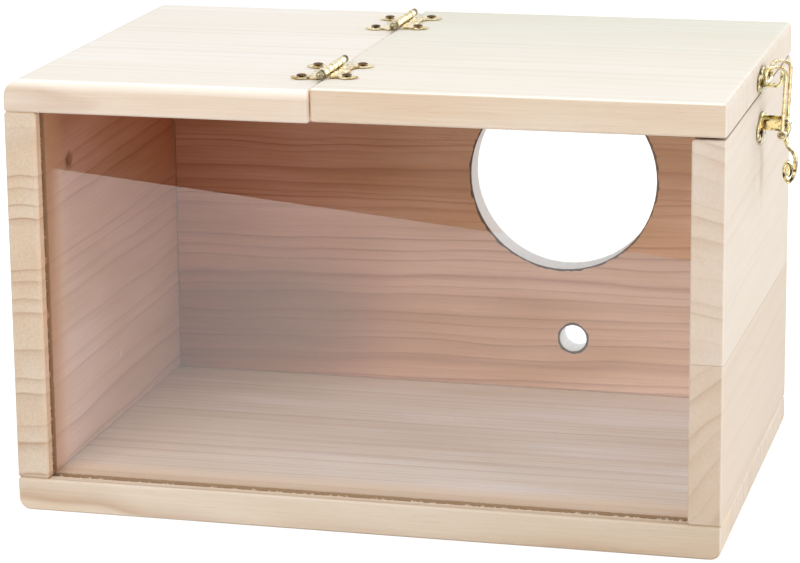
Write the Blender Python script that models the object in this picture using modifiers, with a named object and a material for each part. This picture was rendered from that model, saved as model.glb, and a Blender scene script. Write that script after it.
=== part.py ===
"""Parrot nest box.

A low wooden box with a clear window in its front, an entrance hole and a perch hole in its back,
and a top in two boards: the left one is fixed, the right one is a lid on two brass butterfly
hinges, held shut by a small toggle latch on the right end.

Metres, +Z up. The origin is the centre of the underside. The window faces -Y, the latch +X.
"""

import math

import bmesh
import bpy
from mathutils import Matrix, Vector

# Box
BOX_LENGTH = 0.250
BOX_DEPTH = 0.160
BOX_HEIGHT = 0.155
BOARD = 0.0115
FIT = 0.0003
EDGE_EASE = 0.0006
TOP_END_ROUND = 0.0065
LID_END_ROUND = 0.0020
FOOT_ROUND = 0.0040
OVERRUN = 0.0020
WELD = 0.000001

# Lid
HINGE_LINE = 0.1094
SEAM_GAP = 0.0008
LID_STEP = 0.0006

# Window
WINDOW_THICKNESS = 0.0030
WINDOW_SETBACK = 0.0043
GROOVE_DEPTH = 0.0030

# Holes in the back, from the right end, from the top and from the underside
ENTRANCE_RADIUS = 0.03575
ENTRANCE_FROM_END = 0.0837
ENTRANCE_BELOW_TOP = 0.0597
PERCH_RADIUS = 0.00525
PERCH_FROM_END = 0.0798
PERCH_HEIGHT = 0.0325

# Hinges
HINGE_PLACES = (0.030, 0.130)
LEAF_THICKNESS = 0.0006
LEAF_REACH = 0.0120
LEAF_START = 0.0022
LEAF_WAIST = 0.0042
LEAF_CUSP = 0.0066
LOBE_RADIUS = 0.0030
NAIL_REACH = 0.0080
NAIL_SPREAD = 0.0105
BARREL_RADIUS = 0.0015
BARREL_LENGTH = 0.0260
NECK_REACH = 0.0032
KNUCKLES = 5
HINGE_PIN_RADIUS = 0.0006
FINIAL_RADIUS = 0.0014
FINIAL_NECK = 0.0009
FINIAL_COLLAR = 0.0007

# Nails of the hinges and the latch
NAIL_HEAD_RADIUS = 0.0018
NAIL_HEAD_HEIGHT = 0.0006
NAIL_SHANK_RADIUS = 0.0006
NAIL_LENGTH = 0.0070

# Latch plates
PLATE_THICKNESS = 0.0008
PLATE_REACH = 0.0120
PLATE_NAIL_REACH = 0.0088
PLATE_LOBE_RADIUS = 0.0030
STRIKE_INSET = 0.0004
BASE_HEIGHT = 0.0115
BASE_DROP = 0.0066
WAIST_NOTCH = 0.0016

# Latch hook
HOOK_THICKNESS = 0.0010
HOOK_WIDTH = 0.0060
HOOK_RISE = 0.0024
HOOK_BEND = 0.0020

# Latch lever
PIVOT_REACH = 0.0086
PIVOT_DROP = 0.0105
LINK = 0.0030
LINK_ANGLE = -96
LEVER_TURN = 140
LATCH_PIN_RADIUS = 0.0007
LATCH_PLAY = 0.0004
LEVER_WIDTH = 0.0054
EAR_THICKNESS = 0.0010
RIVET_HEAD = 0.0005
RIVET_FLARE = 0.0005
TAIL_THICKNESS = 0.0010
TAIL_REACH = 0.0040
TAIL_DROP = 0.0207
TAIL_NARROW = 0.0046
TAIL_WIDE = 0.0066
TAIL_CROWN = 0.0004

# Latch loop
WIRE_RADIUS = 0.0007
BAR_PLAY = 0.0006
EYE_WALL = 0.0007
EYE_WIDTH = 0.0017
KNEE_OUT = 0.0012
CROWN_RISE = 0.0060
CROWN_BEND = 0.0028
LOOP_BEND = 0.0016

# Brads and dowels
BRAD_HEAD_RADIUS = 0.0011
BRAD_HEAD = 0.0006
BRAD_SUNK = 0.0005
BRAD_SHANK_RADIUS = 0.0006
BRAD_BITE = 0.0130
BRAD_MARGIN = 0.0180
BRAD_BACK_MARGIN = 0.0300
BRADS_PER_BOARD = 3
DOWEL_RADIUS = 0.0030
DOWEL_FACE_DEPTH = 0.0065
DOWEL_END_DEPTH = 0.0130
DOWEL_CHAMFER = 0.0005
TOP_DOWEL_MARGIN = 0.0400
TOP_BACK_DOWEL_MARGIN = 0.0250
BACK_DOWEL_MARGIN = 0.0350

# Facets
ROUND_STEPS = 5
ENTRANCE_SIDES = 64
HOLE_SIDES = 24
TURN_STEPS = 12
NAIL_STEPS = 10
SHANK_SIDES = 10

# The tail's path as shares of its reach and drop
TAIL_SHARES = ((0.00, 0.10), (0.08, 0.26), (0.30, 0.37), (0.85, 0.50), (1.00, 0.67), (0.90, 0.86),
               (0.45, 1.00), (0.02, 0.91), (-0.06, 0.76), (0.14, 0.66))
TAIL_WIDE_SHARE = 0.55

# Places worked out from the sizes
LEFT = -BOX_LENGTH / 2
RIGHT = BOX_LENGTH / 2
FRONT = -BOX_DEPTH / 2
BACK = BOX_DEPTH / 2
LEFT_INNER = LEFT + BOARD
RIGHT_INNER = RIGHT - BOARD
BACK_INNER = BACK - BOARD
TOP_UNDER = BOX_HEIGHT - BOARD
LID_UNDER = TOP_UNDER + LID_STEP
LID_TOP = BOX_HEIGHT + LID_STEP
HINGE_X = LEFT + HINGE_LINE
HINGE_Z = LID_TOP + FIT + BARREL_RADIUS
HINGE_YS = tuple(FRONT + place for place in HINGE_PLACES)
PLATE_FACE = RIGHT + FIT + PLATE_THICKNESS
PIVOT = Vector((RIGHT + PIVOT_REACH, 0, LID_UNDER - PIVOT_DROP))
LINK_START = math.radians(LINK_ANGLE)
LINK_END = math.radians(LINK_ANGLE + LEVER_TURN)
LOOP_PIVOT = PIVOT + LINK * Vector((math.cos(LINK_START), 0, math.sin(LINK_START)))
EAR_RADIUS = LINK - LATCH_PIN_RADIUS - LATCH_PLAY
EAR_INNER = LEVER_WIDTH / 2 + LATCH_PLAY
EAR_OUTER = EAR_INNER + EAR_THICKNESS
RIVET_END = EAR_OUTER + FIT + RIVET_HEAD
EYE_INNER = RIVET_END + 2 * FIT
EYE_RADIUS = LATCH_PIN_RADIUS + FIT + EYE_WALL
ARM = EYE_INNER + EYE_WIDTH / 2
HOOK_FLOOR = LID_UNDER + HOOK_RISE + HOOK_THICKNESS
BAR = Vector((PLATE_FACE + BAR_PLAY + WIRE_RADIUS, 0, HOOK_FLOOR + FIT + WIRE_RADIUS))
BAR_SWING = LINK * (1 - math.cos(LINK_START))
BAR_LIFT = LINK * (math.sin(LINK_END) - math.sin(LINK_START))

# Ways of laying a flat outline: on the top, upright across the box, and on the right end
ON_TOP = Matrix.Identity(4)
ACROSS = Matrix.Rotation(math.radians(90), 4, "X")
ON_END = Matrix(((0, 0, 1, 0), (1, 0, 0, 0), (0, 1, 0, 0), (0, 0, 0, 1)))


# Scene and finishes

def clear_scene():
    """Remove every object."""
    for thing in list(bpy.data.objects):
        bpy.data.objects.remove(thing, do_unlink=True)


def new_collection(name):
    """A collection linked to the scene."""
    collection = bpy.data.collections.new(name)
    bpy.context.scene.collection.children.link(collection)
    return collection


FINISHES = {
    "paulownia": {"colour": (0.72, 0.54, 0.38), "roughness": 0.62, "metallic": 0.0},
    "acrylic": {"colour": (0.86, 0.90, 0.92), "roughness": 0.05, "metallic": 0.0, "clear": 0.9},
    "brass": {"colour": (0.83, 0.62, 0.22), "roughness": 0.24, "metallic": 1.0},
    "steel": {"colour": (0.55, 0.55, 0.56), "roughness": 0.38, "metallic": 1.0},
    "beech": {"colour": (0.61, 0.42, 0.26), "roughness": 0.60, "metallic": 0.0},
}


def give_finish(piece, kind):
    """Give a piece a material of its own: one of the box's finishes."""
    finish = FINISHES[kind]
    material = bpy.data.materials.new(piece.name + "_" + kind)
    material.use_nodes = True
    shader = material.node_tree.nodes["Principled BSDF"]
    shader.inputs["Base Color"].default_value = (*finish["colour"], 1)
    shader.inputs["Roughness"].default_value = finish["roughness"]
    shader.inputs["Metallic"].default_value = finish["metallic"]
    shader.inputs["Transmission Weight"].default_value = finish.get("clear", 0)
    piece.data.materials.append(material)


def add_piece(name, mesh, place, parent, kind):
    """Put a mesh in the box as a named piece, under the empty that it moves with."""
    piece = bpy.data.objects.new(name, mesh)
    PIECES.objects.link(piece)
    piece.matrix_world = place
    piece.parent = parent
    piece.matrix_parent_inverse = Matrix.Translation(parent.location).inverted()
    if not mesh.materials:
        mesh.shade_smooth()
        mesh.set_sharp_from_angle(angle=math.radians(32))
        give_finish(piece, kind)
    return piece


def add_copies(stem, mesh, places, parent, kind):
    """The same mesh as several numbered pieces."""
    for number, place in enumerate(places, 1):
        add_piece(f"{stem}_{number}", mesh, place, parent, kind)


def add_cutter(name, mesh, place=ON_TOP):
    """Put a mesh beside the box as a shape that cuts or joins, and is not shown itself."""
    cutter = bpy.data.objects.new(name, mesh)
    CUTTERS.objects.link(cutter)
    cutter.matrix_world = place
    cutter.hide_render = True
    cutter.display_type = "WIRE"
    return cutter


def add_axis(name, location):
    """An empty on a joint's axis, for the pieces that turn about it."""
    axis = bpy.data.objects.new(name, None)
    PIECES.objects.link(axis)
    axis.location = location
    axis.empty_display_size = BOARD
    return axis


# Shapes

def mesh_of(bm, name):
    """A mesh made from a bmesh, which is freed."""
    mesh = bpy.data.meshes.new(name)
    bm.to_mesh(mesh)
    bm.free()
    return mesh


def settle(thing):
    """The mesh of an object as its modifiers leave it, welded; the object is removed."""
    bpy.context.scene.collection.objects.link(thing)
    bpy.context.view_layer.update()
    depsgraph = bpy.context.evaluated_depsgraph_get()
    mesh = bpy.data.meshes.new_from_object(thing.evaluated_get(depsgraph), depsgraph=depsgraph)
    bm = bmesh.new()
    bm.from_mesh(mesh)
    bmesh.ops.remove_doubles(bm, verts=bm.verts, dist=WELD)
    bmesh.ops.recalc_face_normals(bm, faces=bm.faces)
    bm.to_mesh(mesh)
    bm.free()
    bpy.data.objects.remove(thing, do_unlink=True)
    return mesh


def block(name, low, high, rounded=(), radius=0):
    """A box between two corners, centred on its own origin, and where that origin goes.

    rounded names the edges that run front to back and are rounded, (-1, 1) being left and top.
    """
    low, high = Vector(low), Vector(high)
    bm = bmesh.new()
    bmesh.ops.create_cube(bm, size=1)
    bmesh.ops.scale(bm, vec=high - low, verts=bm.verts)
    chosen = []
    for edge in bm.edges:
        first, second = (vert.co for vert in edge.verts)
        middle = (first + second) / 2
        side = (math.copysign(1, middle.x), math.copysign(1, middle.z))
        if abs(middle.y) < WELD and side in rounded:
            chosen.append(edge)
    if chosen:
        bmesh.ops.bevel(bm, geom=chosen, offset=radius, segments=ROUND_STEPS, profile=0.5,
                        affect="EDGES")
    return mesh_of(bm, name), Matrix.Translation((low + high) / 2)


def rod(name, radius, length, sides):
    """A round bar along Z, centred on its origin."""
    bm = bmesh.new()
    bmesh.ops.create_cone(bm, cap_ends=True, segments=sides, radius1=radius, radius2=radius,
                          depth=length)
    return mesh_of(bm, name)


def turned(name, profile, steps):
    """A shape turned about Z from a profile of (radius, height) points, from the top down."""
    mesh = bpy.data.meshes.new(name)
    points = [(radius, 0, height) for radius, height in profile]
    mesh.from_pydata(points, [(i, i + 1) for i in range(len(points) - 1)], [])
    shape = bpy.data.objects.new(name, mesh)
    screw = shape.modifiers.new("Turn", "SCREW")
    screw.steps = steps
    screw.render_steps = steps
    screw.use_merge_vertices = True
    screw.merge_threshold = WELD
    return settle(shape)


def sheet(name, outline, thickness):
    """A flat outline given a thickness, centred on its plane."""
    curve = bpy.data.curves.new(name, "CURVE")
    curve.dimensions = "2D"
    curve.fill_mode = "BOTH"
    curve.extrude = thickness / 2
    spline = curve.splines.new("POLY")
    spline.points.add(len(outline) - 1)
    for point, (u, v) in zip(spline.points, outline):
        point.co = (u, v, 0, 1)
    spline.use_cyclic_u = True
    return settle(bpy.data.objects.new(name, curve))


def wire(name, path, radius):
    """A round wire along a path, with closed ends."""
    curve = bpy.data.curves.new(name, "CURVE")
    curve.dimensions = "3D"
    curve.bevel_depth = radius
    curve.bevel_resolution = 2
    curve.use_fill_caps = True
    spline = curve.splines.new("POLY")
    spline.points.add(len(path) - 1)
    for point, place in zip(spline.points, path):
        point.co = (*place, 1)
    return settle(bpy.data.objects.new(name, curve))


def group(name, mesh, places):
    """Copies of one mesh at several places, as one mesh."""
    bm = bmesh.new()
    for place in places:
        before = len(bm.verts)
        bm.from_mesh(mesh)
        bm.verts.ensure_lookup_table()
        bmesh.ops.transform(bm, matrix=place, verts=bm.verts[before:])
    return mesh_of(bm, name)


def facing(point, direction):
    """The place of a shape whose Z points in a direction, with its origin at a point."""
    turn = Vector(direction).to_track_quat("Z", "Y")
    return Matrix.Translation(point) @ turn.to_matrix().to_4x4()


def combine(piece, operation, *others):
    """Cut shapes out of a piece, or join shapes to it."""
    for other in others:
        step = piece.modifiers.new(operation.title() + "_" + other.name, "BOOLEAN")
        step.operation = operation
        step.solver = "EXACT"
        step.object = other


def ease_edges(piece):
    """Sand a board's sharp edges."""
    bevel = piece.modifiers.new("Ease", "BEVEL")
    bevel.width = EDGE_EASE
    bevel.segments = 1
    bevel.limit_method = "ANGLE"
    bevel.angle_limit = math.radians(60)


def spread(low, high, margin, count):
    """Evenly spaced places between two ends, each end less a margin."""
    step = (high - low - 2 * margin) / (count - 1)
    return [low + margin + i * step for i in range(count)]


def arc(centre, radius, start, end, steps):
    """Points on an arc, angles in degrees."""
    angles = [math.radians(start + (end - start) * i / steps) for i in range(steps + 1)]
    return [(centre[0] + radius * math.cos(a), centre[1] + radius * math.sin(a)) for a in angles]


def bow(start, pull, end, steps):
    """Points on the curve that leaves start towards pull and comes to end from it."""
    points = []
    for i in range(1, steps):
        t = i / steps
        points.append(tuple((1 - t) ** 2 * a + 2 * t * (1 - t) * b + t * t * c
                            for a, b, c in zip(start, pull, end)))
    return points


def fillet(points, radii, steps):
    """A path of straight runs with each inner corner turned into an arc of its own radius."""
    path = [Vector(points[0])]
    for before, corner, after, radius in zip(points, points[1:], points[2:], radii):
        corner = Vector(corner)
        back = (Vector(before) - corner).normalized()
        ahead = (Vector(after) - corner).normalized()
        half = back.angle(ahead) / 2
        centre = corner + (back + ahead).normalized() * radius / math.sin(half)
        first = (corner + back * radius / math.tan(half) - centre).normalized()
        last = (corner + ahead * radius / math.tan(half) - centre).normalized()
        path += [centre + radius * first.slerp(last, i / steps) for i in range(steps + 1)]
    return path + [Vector(points[-1])]


def smooth_path(points, steps):
    """A smooth curve through points, each stretch bent by the slopes at its two ends."""
    ends = [points[0]] + list(points) + [points[-1]]
    path = []
    for p0, p1, p2, p3 in zip(ends, ends[1:], ends[2:], ends[3:]):
        for i in range(steps):
            t = i / steps
            path.append(tuple(b + t * (c - a) / 2 + t * t * (a - 2.5 * b + 2 * c - d / 2)
                              + t ** 3 * (1.5 * b - a / 2 - 1.5 * c + d / 2)
                              for a, b, c, d in zip(p0, p1, p2, p3)))
    return path + [points[-1]]


def strip_outline(path, thickness):
    """The outline of a strip of even thickness bent along a path, as seen from its edge."""
    path = [Vector(point) for point in path]
    upper, lower = [], []
    for i, point in enumerate(path):
        runs = [(b - a).normalized() for a, b in zip(path[max(i - 1, 0):i + 1], path[i:i + 2])
                if (b - a).length > WELD]
        runs = runs or [(path[1] - path[0]).normalized()]
        along = sum(runs, Vector((0, 0))).normalized()
        reach = thickness / 2 / along.dot(runs[0])
        side = Vector((-along.y, along.x)) * reach
        upper.append(point + side)
        lower.append(point - side)
    return [tuple(point) for point in upper + lower[::-1]]


# Boards

def add_boards(box, lid):
    """The floor, two side walls, the back, the fixed top and the lid."""
    wall_low, wall_high = BOARD + FIT, TOP_UNDER - FIT
    seam_left, seam_right = HINGE_X - SEAM_GAP / 2, HINGE_X + SEAM_GAP / 2
    sizes = {
        "floor_board": (box, (LEFT, FRONT, 0), (RIGHT, BACK, BOARD),
                        ((-1, -1), (1, -1)), FOOT_ROUND),
        "left_wall": (box, (LEFT, FRONT, wall_low), (LEFT_INNER, BACK, wall_high), (), 0),
        "right_wall": (box, (RIGHT_INNER, FRONT, wall_low), (RIGHT, BACK, wall_high), (), 0),
        "back_wall": (box, (LEFT_INNER + FIT, BACK_INNER, wall_low),
                      (RIGHT_INNER - FIT, BACK, wall_high), (), 0),
        "fixed_top": (box, (LEFT, FRONT, TOP_UNDER), (seam_left, BACK, BOX_HEIGHT),
                      ((-1, 1),), TOP_END_ROUND),
        "lid": (lid, (seam_right, FRONT, LID_UNDER), (RIGHT, BACK, LID_TOP),
                ((1, 1),), LID_END_ROUND),
    }
    boards = {}
    for name, (parent, low, high, rounded, radius) in sizes.items():
        mesh, place = block(name, low, high, rounded, radius)
        boards[name] = add_piece(name, mesh, place, parent, "paulownia")
        ease_edges(boards[name])
    return boards


def cut_window_slot(boards):
    """The groove that runs down both side walls and along the floor."""
    low = (LEFT_INNER - GROOVE_DEPTH, FRONT + WINDOW_SETBACK, BOARD - GROOVE_DEPTH)
    high = (RIGHT_INNER + GROOVE_DEPTH, FRONT + WINDOW_SETBACK + WINDOW_THICKNESS + 2 * FIT,
            TOP_UNDER + OVERRUN)
    slot = add_cutter("window_slot", *block("window_slot", low, high))
    for name in ("floor_board", "left_wall", "right_wall"):
        combine(boards[name], "DIFFERENCE", slot)


def add_window(box):
    """The clear sheet that stands in the groove, under the top boards."""
    side = GROOVE_DEPTH - FIT
    low = (LEFT_INNER - side, FRONT + WINDOW_SETBACK + FIT, BOARD - side)
    high = (RIGHT_INNER + side, FRONT + WINDOW_SETBACK + FIT + WINDOW_THICKNESS, TOP_UNDER - FIT)
    mesh, place = block("front_window", low, high)
    add_piece("front_window", mesh, place, box, "acrylic")


def cut_back_holes(boards):
    """The birds' entrance and the small hole for a perch under it."""
    through = BOARD + 2 * OVERRUN
    middle = (BACK_INNER + BACK) / 2
    entrance = (RIGHT - ENTRANCE_FROM_END, middle, BOX_HEIGHT - ENTRANCE_BELOW_TOP)
    perch = (RIGHT - PERCH_FROM_END, middle, PERCH_HEIGHT)
    for name, radius, centre, sides in (
            ("entrance_hole", ENTRANCE_RADIUS, entrance, ENTRANCE_SIDES),
            ("perch_hole", PERCH_RADIUS, perch, HOLE_SIDES)):
        cutter = add_cutter(name, rod(name, radius, through, sides), facing(centre, (0, 1, 0)))
        combine(boards["back_wall"], "DIFFERENCE", cutter)


# Brads under the floor and dowels in the corners

def brad_profile(grow, top):
    """A flat-headed brad from its head down, or with grow its hole; zero is the board's face."""
    head = BRAD_HEAD_RADIUS + grow
    shank = BRAD_SHANK_RADIUS + grow
    under = -(BRAD_SUNK + BRAD_HEAD + grow)
    end = -(BOARD + FIT + BRAD_BITE + grow)
    return [(0, top), (head, top), (head, under), (shank, under),
            (shank, end + BRAD_SHANK_RADIUS), (0, end)]


def add_brads(boards, box):
    """Brads driven up through the floor into both side walls and the back."""
    spots = [(x, y) for x in (LEFT + BOARD / 2, RIGHT - BOARD / 2)
             for y in spread(FRONT, BACK_INNER, BRAD_MARGIN, BRADS_PER_BOARD)]
    spots += [(x, BACK - BOARD / 2)
              for x in spread(LEFT_INNER, RIGHT_INNER, BRAD_BACK_MARGIN, BRADS_PER_BOARD)]
    places = [facing((x, y, 0), (0, 0, -1)) for x, y in spots]
    brad = turned("floor_brad", brad_profile(0, -BRAD_SUNK), SHANK_SIDES)
    hole = turned("brad_hole", brad_profile(FIT, OVERRUN), SHANK_SIDES)
    add_copies("floor_brad", brad, places, box, "steel")
    holes = add_cutter("brad_holes", group("brad_holes", hole, places))
    for name in ("floor_board", "left_wall", "right_wall", "back_wall"):
        combine(boards[name], "DIFFERENCE", holes)


def dowel_profile(grow):
    """A chamfered dowel from its face-board end down; zero is the joint between the boards."""
    radius = DOWEL_RADIUS + grow
    top = DOWEL_FACE_DEPTH + grow
    end = -(FIT + DOWEL_END_DEPTH + grow)
    return [(0, top), (radius - DOWEL_CHAMFER, top), (radius, top - DOWEL_CHAMFER),
            (radius, end + DOWEL_CHAMFER), (radius - DOWEL_CHAMFER, end), (0, end)]


def add_dowels(name, places, boards, box):
    """Dowels in a set of joints, and their holes in the boards that meet there."""
    dowel = turned(name, dowel_profile(0), NAIL_STEPS)
    hole = turned(name + "_hole", dowel_profile(FIT), NAIL_STEPS)
    add_copies(name, dowel, places, box, "beech")
    holes = add_cutter(name + "_holes", group(name + "_holes", hole, places))
    for board in boards:
        combine(board, "DIFFERENCE", holes)


def add_corner_dowels(boards, box):
    """Dowels from the fixed top into the walls, and from the side walls into the back."""
    tops = [(LEFT + BOARD / 2, y, TOP_UNDER)
            for y in spread(FRONT, BACK_INNER, TOP_DOWEL_MARGIN, 2)]
    tops += [(x, BACK - BOARD / 2, TOP_UNDER)
             for x in spread(LEFT_INNER, HINGE_X, TOP_BACK_DOWEL_MARGIN, 2)]
    add_dowels("top_dowel", [facing(point, (0, 0, 1)) for point in tops],
               [boards["fixed_top"], boards["left_wall"], boards["back_wall"]], box)
    corners = [facing((x, BACK - BOARD / 2, z), (side, 0, 0))
               for side, x in ((-1, LEFT_INNER), (1, RIGHT_INNER))
               for z in spread(BOARD, TOP_UNDER, BACK_DOWEL_MARGIN, 2)]
    add_dowels("back_dowel", corners,
               [boards["left_wall"], boards["right_wall"], boards["back_wall"]], box)


# Round-headed nails

def add_nails(name, places, parent, *nailed):
    """Nails standing on a metal piece, and their holes in it and in the board behind."""
    dome = [(NAIL_HEAD_RADIUS * math.sin(a), NAIL_HEAD_HEIGHT * math.cos(a))
            for a in (math.radians(90 * i / 3) for i in range(4))]
    point = 2 * NAIL_SHANK_RADIUS
    shank = [(NAIL_SHANK_RADIUS, 0), (NAIL_SHANK_RADIUS, point - NAIL_LENGTH), (0, -NAIL_LENGTH)]
    nail = turned(name, dome + shank, NAIL_STEPS)
    add_copies(name, nail, places, parent, "brass")
    length = NAIL_LENGTH + FIT + OVERRUN
    hole = rod(name + "_hole", NAIL_SHANK_RADIUS + FIT, length, SHANK_SIDES)
    shift = Matrix.Translation((0, 0, OVERRUN - length / 2))
    holes = add_cutter(name + "_holes",
                       group(name + "_holes", hole, [place @ shift for place in places]))
    for piece in nailed:
        combine(piece, "DIFFERENCE", holes)


# Hinges

def lobe(centre, radius, reach, start, end, steps):
    """An arc round a nail with its outer side drawn out to a point at the given reach."""
    points = []
    for i in range(steps + 1):
        angle = start + (end - start) * i / steps
        pull = max(0, 1 - abs(angle) / 50) ** 2 * (reach - centre[0] - radius)
        turn = math.radians(angle)
        points.append((centre[0] + (radius + pull) * math.cos(turn),
                       centre[1] + (radius + pull) * math.sin(turn)))
    return points


def leaf_outline():
    """Half a butterfly: two pointed lobes with a cusp between them, straight by the barrel."""
    nail = (NAIL_REACH, NAIL_SPREAD)
    round_lobe = lobe(nail, LOBE_RADIUS, LEAF_REACH, -105, 155, 16)
    cusp = (LEAF_CUSP, 0)
    inner = bow(cusp, (LEAF_WAIST, NAIL_SPREAD / 3), round_lobe[0], 5)
    half = [cusp] + inner + round_lobe + [(LEAF_START, BARREL_LENGTH / 2)]
    return half + [(u, -v) for u, v in half[:0:-1]]


def knuckle_outline(drop):
    """The end view of a knuckle: the eye round the pin and the neck that runs out to its leaf.

    drop is how far the leaf's middle plane lies under the pin.
    """
    slim = 0.4 * LEAF_THICKNESS
    eye = arc((0, 0), BARREL_RADIUS, -90, -360, 12)
    return [(NECK_REACH, -drop - slim)] + eye + [(NECK_REACH, -drop + slim)]


def knuckle_spans():
    """The middle and length of each knuckle along the barrel."""
    length = (BARREL_LENGTH - (KNUCKLES - 1) * FIT) / KNUCKLES
    return [((i - (KNUCKLES - 1) / 2) * (length + FIT), length) for i in range(KNUCKLES)]


def add_leaf(name, hinge_y, side, surface, parent):
    """One leaf lying on its board, with every second knuckle; side is +1 on the lid."""
    turn = Matrix.Rotation(0 if side > 0 else math.pi, 4, "Z")
    middle = surface + FIT + LEAF_THICKNESS / 2
    place = Matrix.Translation((HINGE_X, hinge_y, middle)) @ turn
    leaf = add_piece(name, sheet(name, leaf_outline(), LEAF_THICKNESS), place, parent, "brass")
    axis = Matrix.Translation((HINGE_X, hinge_y, HINGE_Z)) @ turn
    outline = knuckle_outline(HINGE_Z - middle)
    for i, (along, length) in enumerate(knuckle_spans()):
        if i % 2 == (1 if side > 0 else 0):
            label = f"{name}_knuckle_{i}"
            shift = axis @ Matrix.Translation((0, along, 0)) @ ACROSS
            combine(leaf, "UNION", add_cutter(label, sheet(label, outline, length), shift))
    bore = rod(name + "_bore", HINGE_PIN_RADIUS + FIT, BARREL_LENGTH + 2 * OVERRUN, TURN_STEPS)
    combine(leaf, "DIFFERENCE", add_cutter(name + "_bore", bore, axis @ ACROSS))
    return leaf


def hinge_pin_profile():
    """The pin from one ball finial to the other."""
    start = BARREL_LENGTH / 2 + FIT
    neck_end = start + FINIAL_COLLAR + FINIAL_NECK
    ball = neck_end + FINIAL_RADIUS * math.cos(math.radians(35))
    round_end = [(x, y) for y, x in arc((ball, 0), FINIAL_RADIUS, 0, 145, 6)]
    finial = [(0, round_end[0][1])] + round_end[1:] + [
        (FINIAL_NECK, start + FINIAL_COLLAR), (FINIAL_RADIUS, start + FINIAL_COLLAR),
        (FINIAL_RADIUS, start), (HINGE_PIN_RADIUS, start)]
    return finial + [(radius, -height) for radius, height in finial[::-1]]


def nail_places(hinge_y, side, surface):
    """Where a leaf's two nails stand: on the leaf's upper face."""
    z = surface + FIT + LEAF_THICKNESS + FIT
    return [facing((HINGE_X + side * NAIL_REACH, hinge_y + way * NAIL_SPREAD, z), (0, 0, 1))
            for way in (-1, 1)]


def add_hinges(boards, box, lid):
    """Two butterfly hinges across the seam between the fixed top and the lid."""
    fixed_leaves, lid_leaves, fixed_nails, lid_nails = [], [], [], []
    for label, y in zip(("front", "rear"), HINGE_YS):
        fixed_leaves.append(add_leaf(f"hinge_{label}_fixed_leaf", y, -1, BOX_HEIGHT, box))
        lid_leaves.append(add_leaf(f"hinge_{label}_lid_leaf", y, 1, LID_TOP, lid))
        pin = turned(f"hinge_{label}_pin", hinge_pin_profile(), TURN_STEPS)
        add_piece(f"hinge_{label}_pin", pin, facing((HINGE_X, y, HINGE_Z), (0, 1, 0)), box,
                  "brass")
        fixed_nails += nail_places(y, -1, BOX_HEIGHT)
        lid_nails += nail_places(y, 1, LID_TOP)
    add_nails("hinge_nail_fixed", fixed_nails, box, *fixed_leaves, boards["fixed_top"])
    add_nails("hinge_nail_lid", lid_nails, lid, *lid_leaves, boards["lid"])


# Latch

def plate_outline(height):
    """A stamped plate: a pointed lobe round the nail at each end and a cusp above and below."""
    nail = (PLATE_NAIL_REACH, 0)
    round_lobe = lobe(nail, PLATE_LOBE_RADIUS, PLATE_REACH, 0, 115, 8)
    cusp = (0, height / 2)
    pull = (round_lobe[-1][0] - WAIST_NOTCH, height / 2 - WAIST_NOTCH / 4)
    quarter = round_lobe + bow(round_lobe[-1], pull, cusp, 4) + [cusp]
    half = quarter + [(-u, v) for u, v in quarter[-2::-1]]
    return half + [(u, -v) for u, v in half[-2:0:-1]]


def plate_nails(z):
    """Where a latch plate's two nails stand: on its outer face, at its two lobes."""
    return [facing((PLATE_FACE + FIT, way * PLATE_NAIL_REACH, z), (1, 0, 0)) for way in (-1, 1)]


def add_plate(name, z, height, parent):
    """A latch plate on the right end, centred at a height."""
    place = Matrix.Translation((PLATE_FACE - PLATE_THICKNESS / 2, 0, z)) @ ON_END
    mesh = sheet(name, plate_outline(height), PLATE_THICKNESS)
    return add_piece(name, mesh, place, parent, "brass")


def add_strike_plate(boards, lid):
    """The plate on the lid's end, with the hook that the loop pulls down on."""
    low, high = LID_UNDER + STRIKE_INSET, LID_TOP - LID_END_ROUND
    middle = (low + high) / 2
    plate = add_plate("latch_strike_plate", middle, high - low, lid)
    floor = HOOK_FLOOR - HOOK_THICKNESS / 2
    leg = BAR.x + BAR_SWING + WIRE_RADIUS + FIT + HOOK_THICKNESS / 2
    tip = HOOK_FLOOR + BAR_LIFT - FIT
    path = fillet([(PLATE_FACE - PLATE_THICKNESS / 2, floor), (leg, floor), (leg, tip)],
                  [HOOK_BEND], ROUND_STEPS)
    hook = sheet("latch_hook", strip_outline(path, HOOK_THICKNESS), HOOK_WIDTH)
    combine(plate, "UNION", add_cutter("latch_hook", hook, ACROSS))
    add_nails("strike_nail", plate_nails(middle), lid, plate, boards["lid"])


def ear_outline():
    """A tab from the base plate out to the lever's pin, with a round end."""
    root = PLATE_FACE - PLATE_THICKNESS / 2
    end = arc((PIVOT.x, PIVOT.z), EAR_RADIUS, -90, 90, 8)
    return [(root, end[0][1])] + end + [(root, end[-1][1])]


def add_base_plate(boards, box):
    """The plate on the right wall, with the two ears that carry the lever."""
    top = LID_UNDER - BASE_DROP
    middle = top - BASE_HEIGHT / 2
    plate = add_plate("latch_base_plate", middle, BASE_HEIGHT, box)
    for label, way in (("near", -1), ("far", 1)):
        ear = sheet(f"latch_ear_{label}", ear_outline(), EAR_THICKNESS)
        shift = Matrix.Translation((0, way * (EAR_INNER + EAR_THICKNESS / 2), 0)) @ ACROSS
        combine(plate, "UNION", add_cutter(f"latch_ear_{label}", ear, shift))
    cut_bore(plate, "ear_bore", PIVOT)
    add_nails("base_nail", plate_nails(middle), box, plate, boards["right_wall"])


def cut_bore(piece, name, centre):
    """A hole front to back for one of the latch's pins."""
    bore = rod(name, LATCH_PIN_RADIUS + FIT, 4 * ARM, TURN_STEPS)
    combine(piece, "DIFFERENCE", add_cutter(name, bore, facing(centre, (0, 1, 0))))


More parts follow.
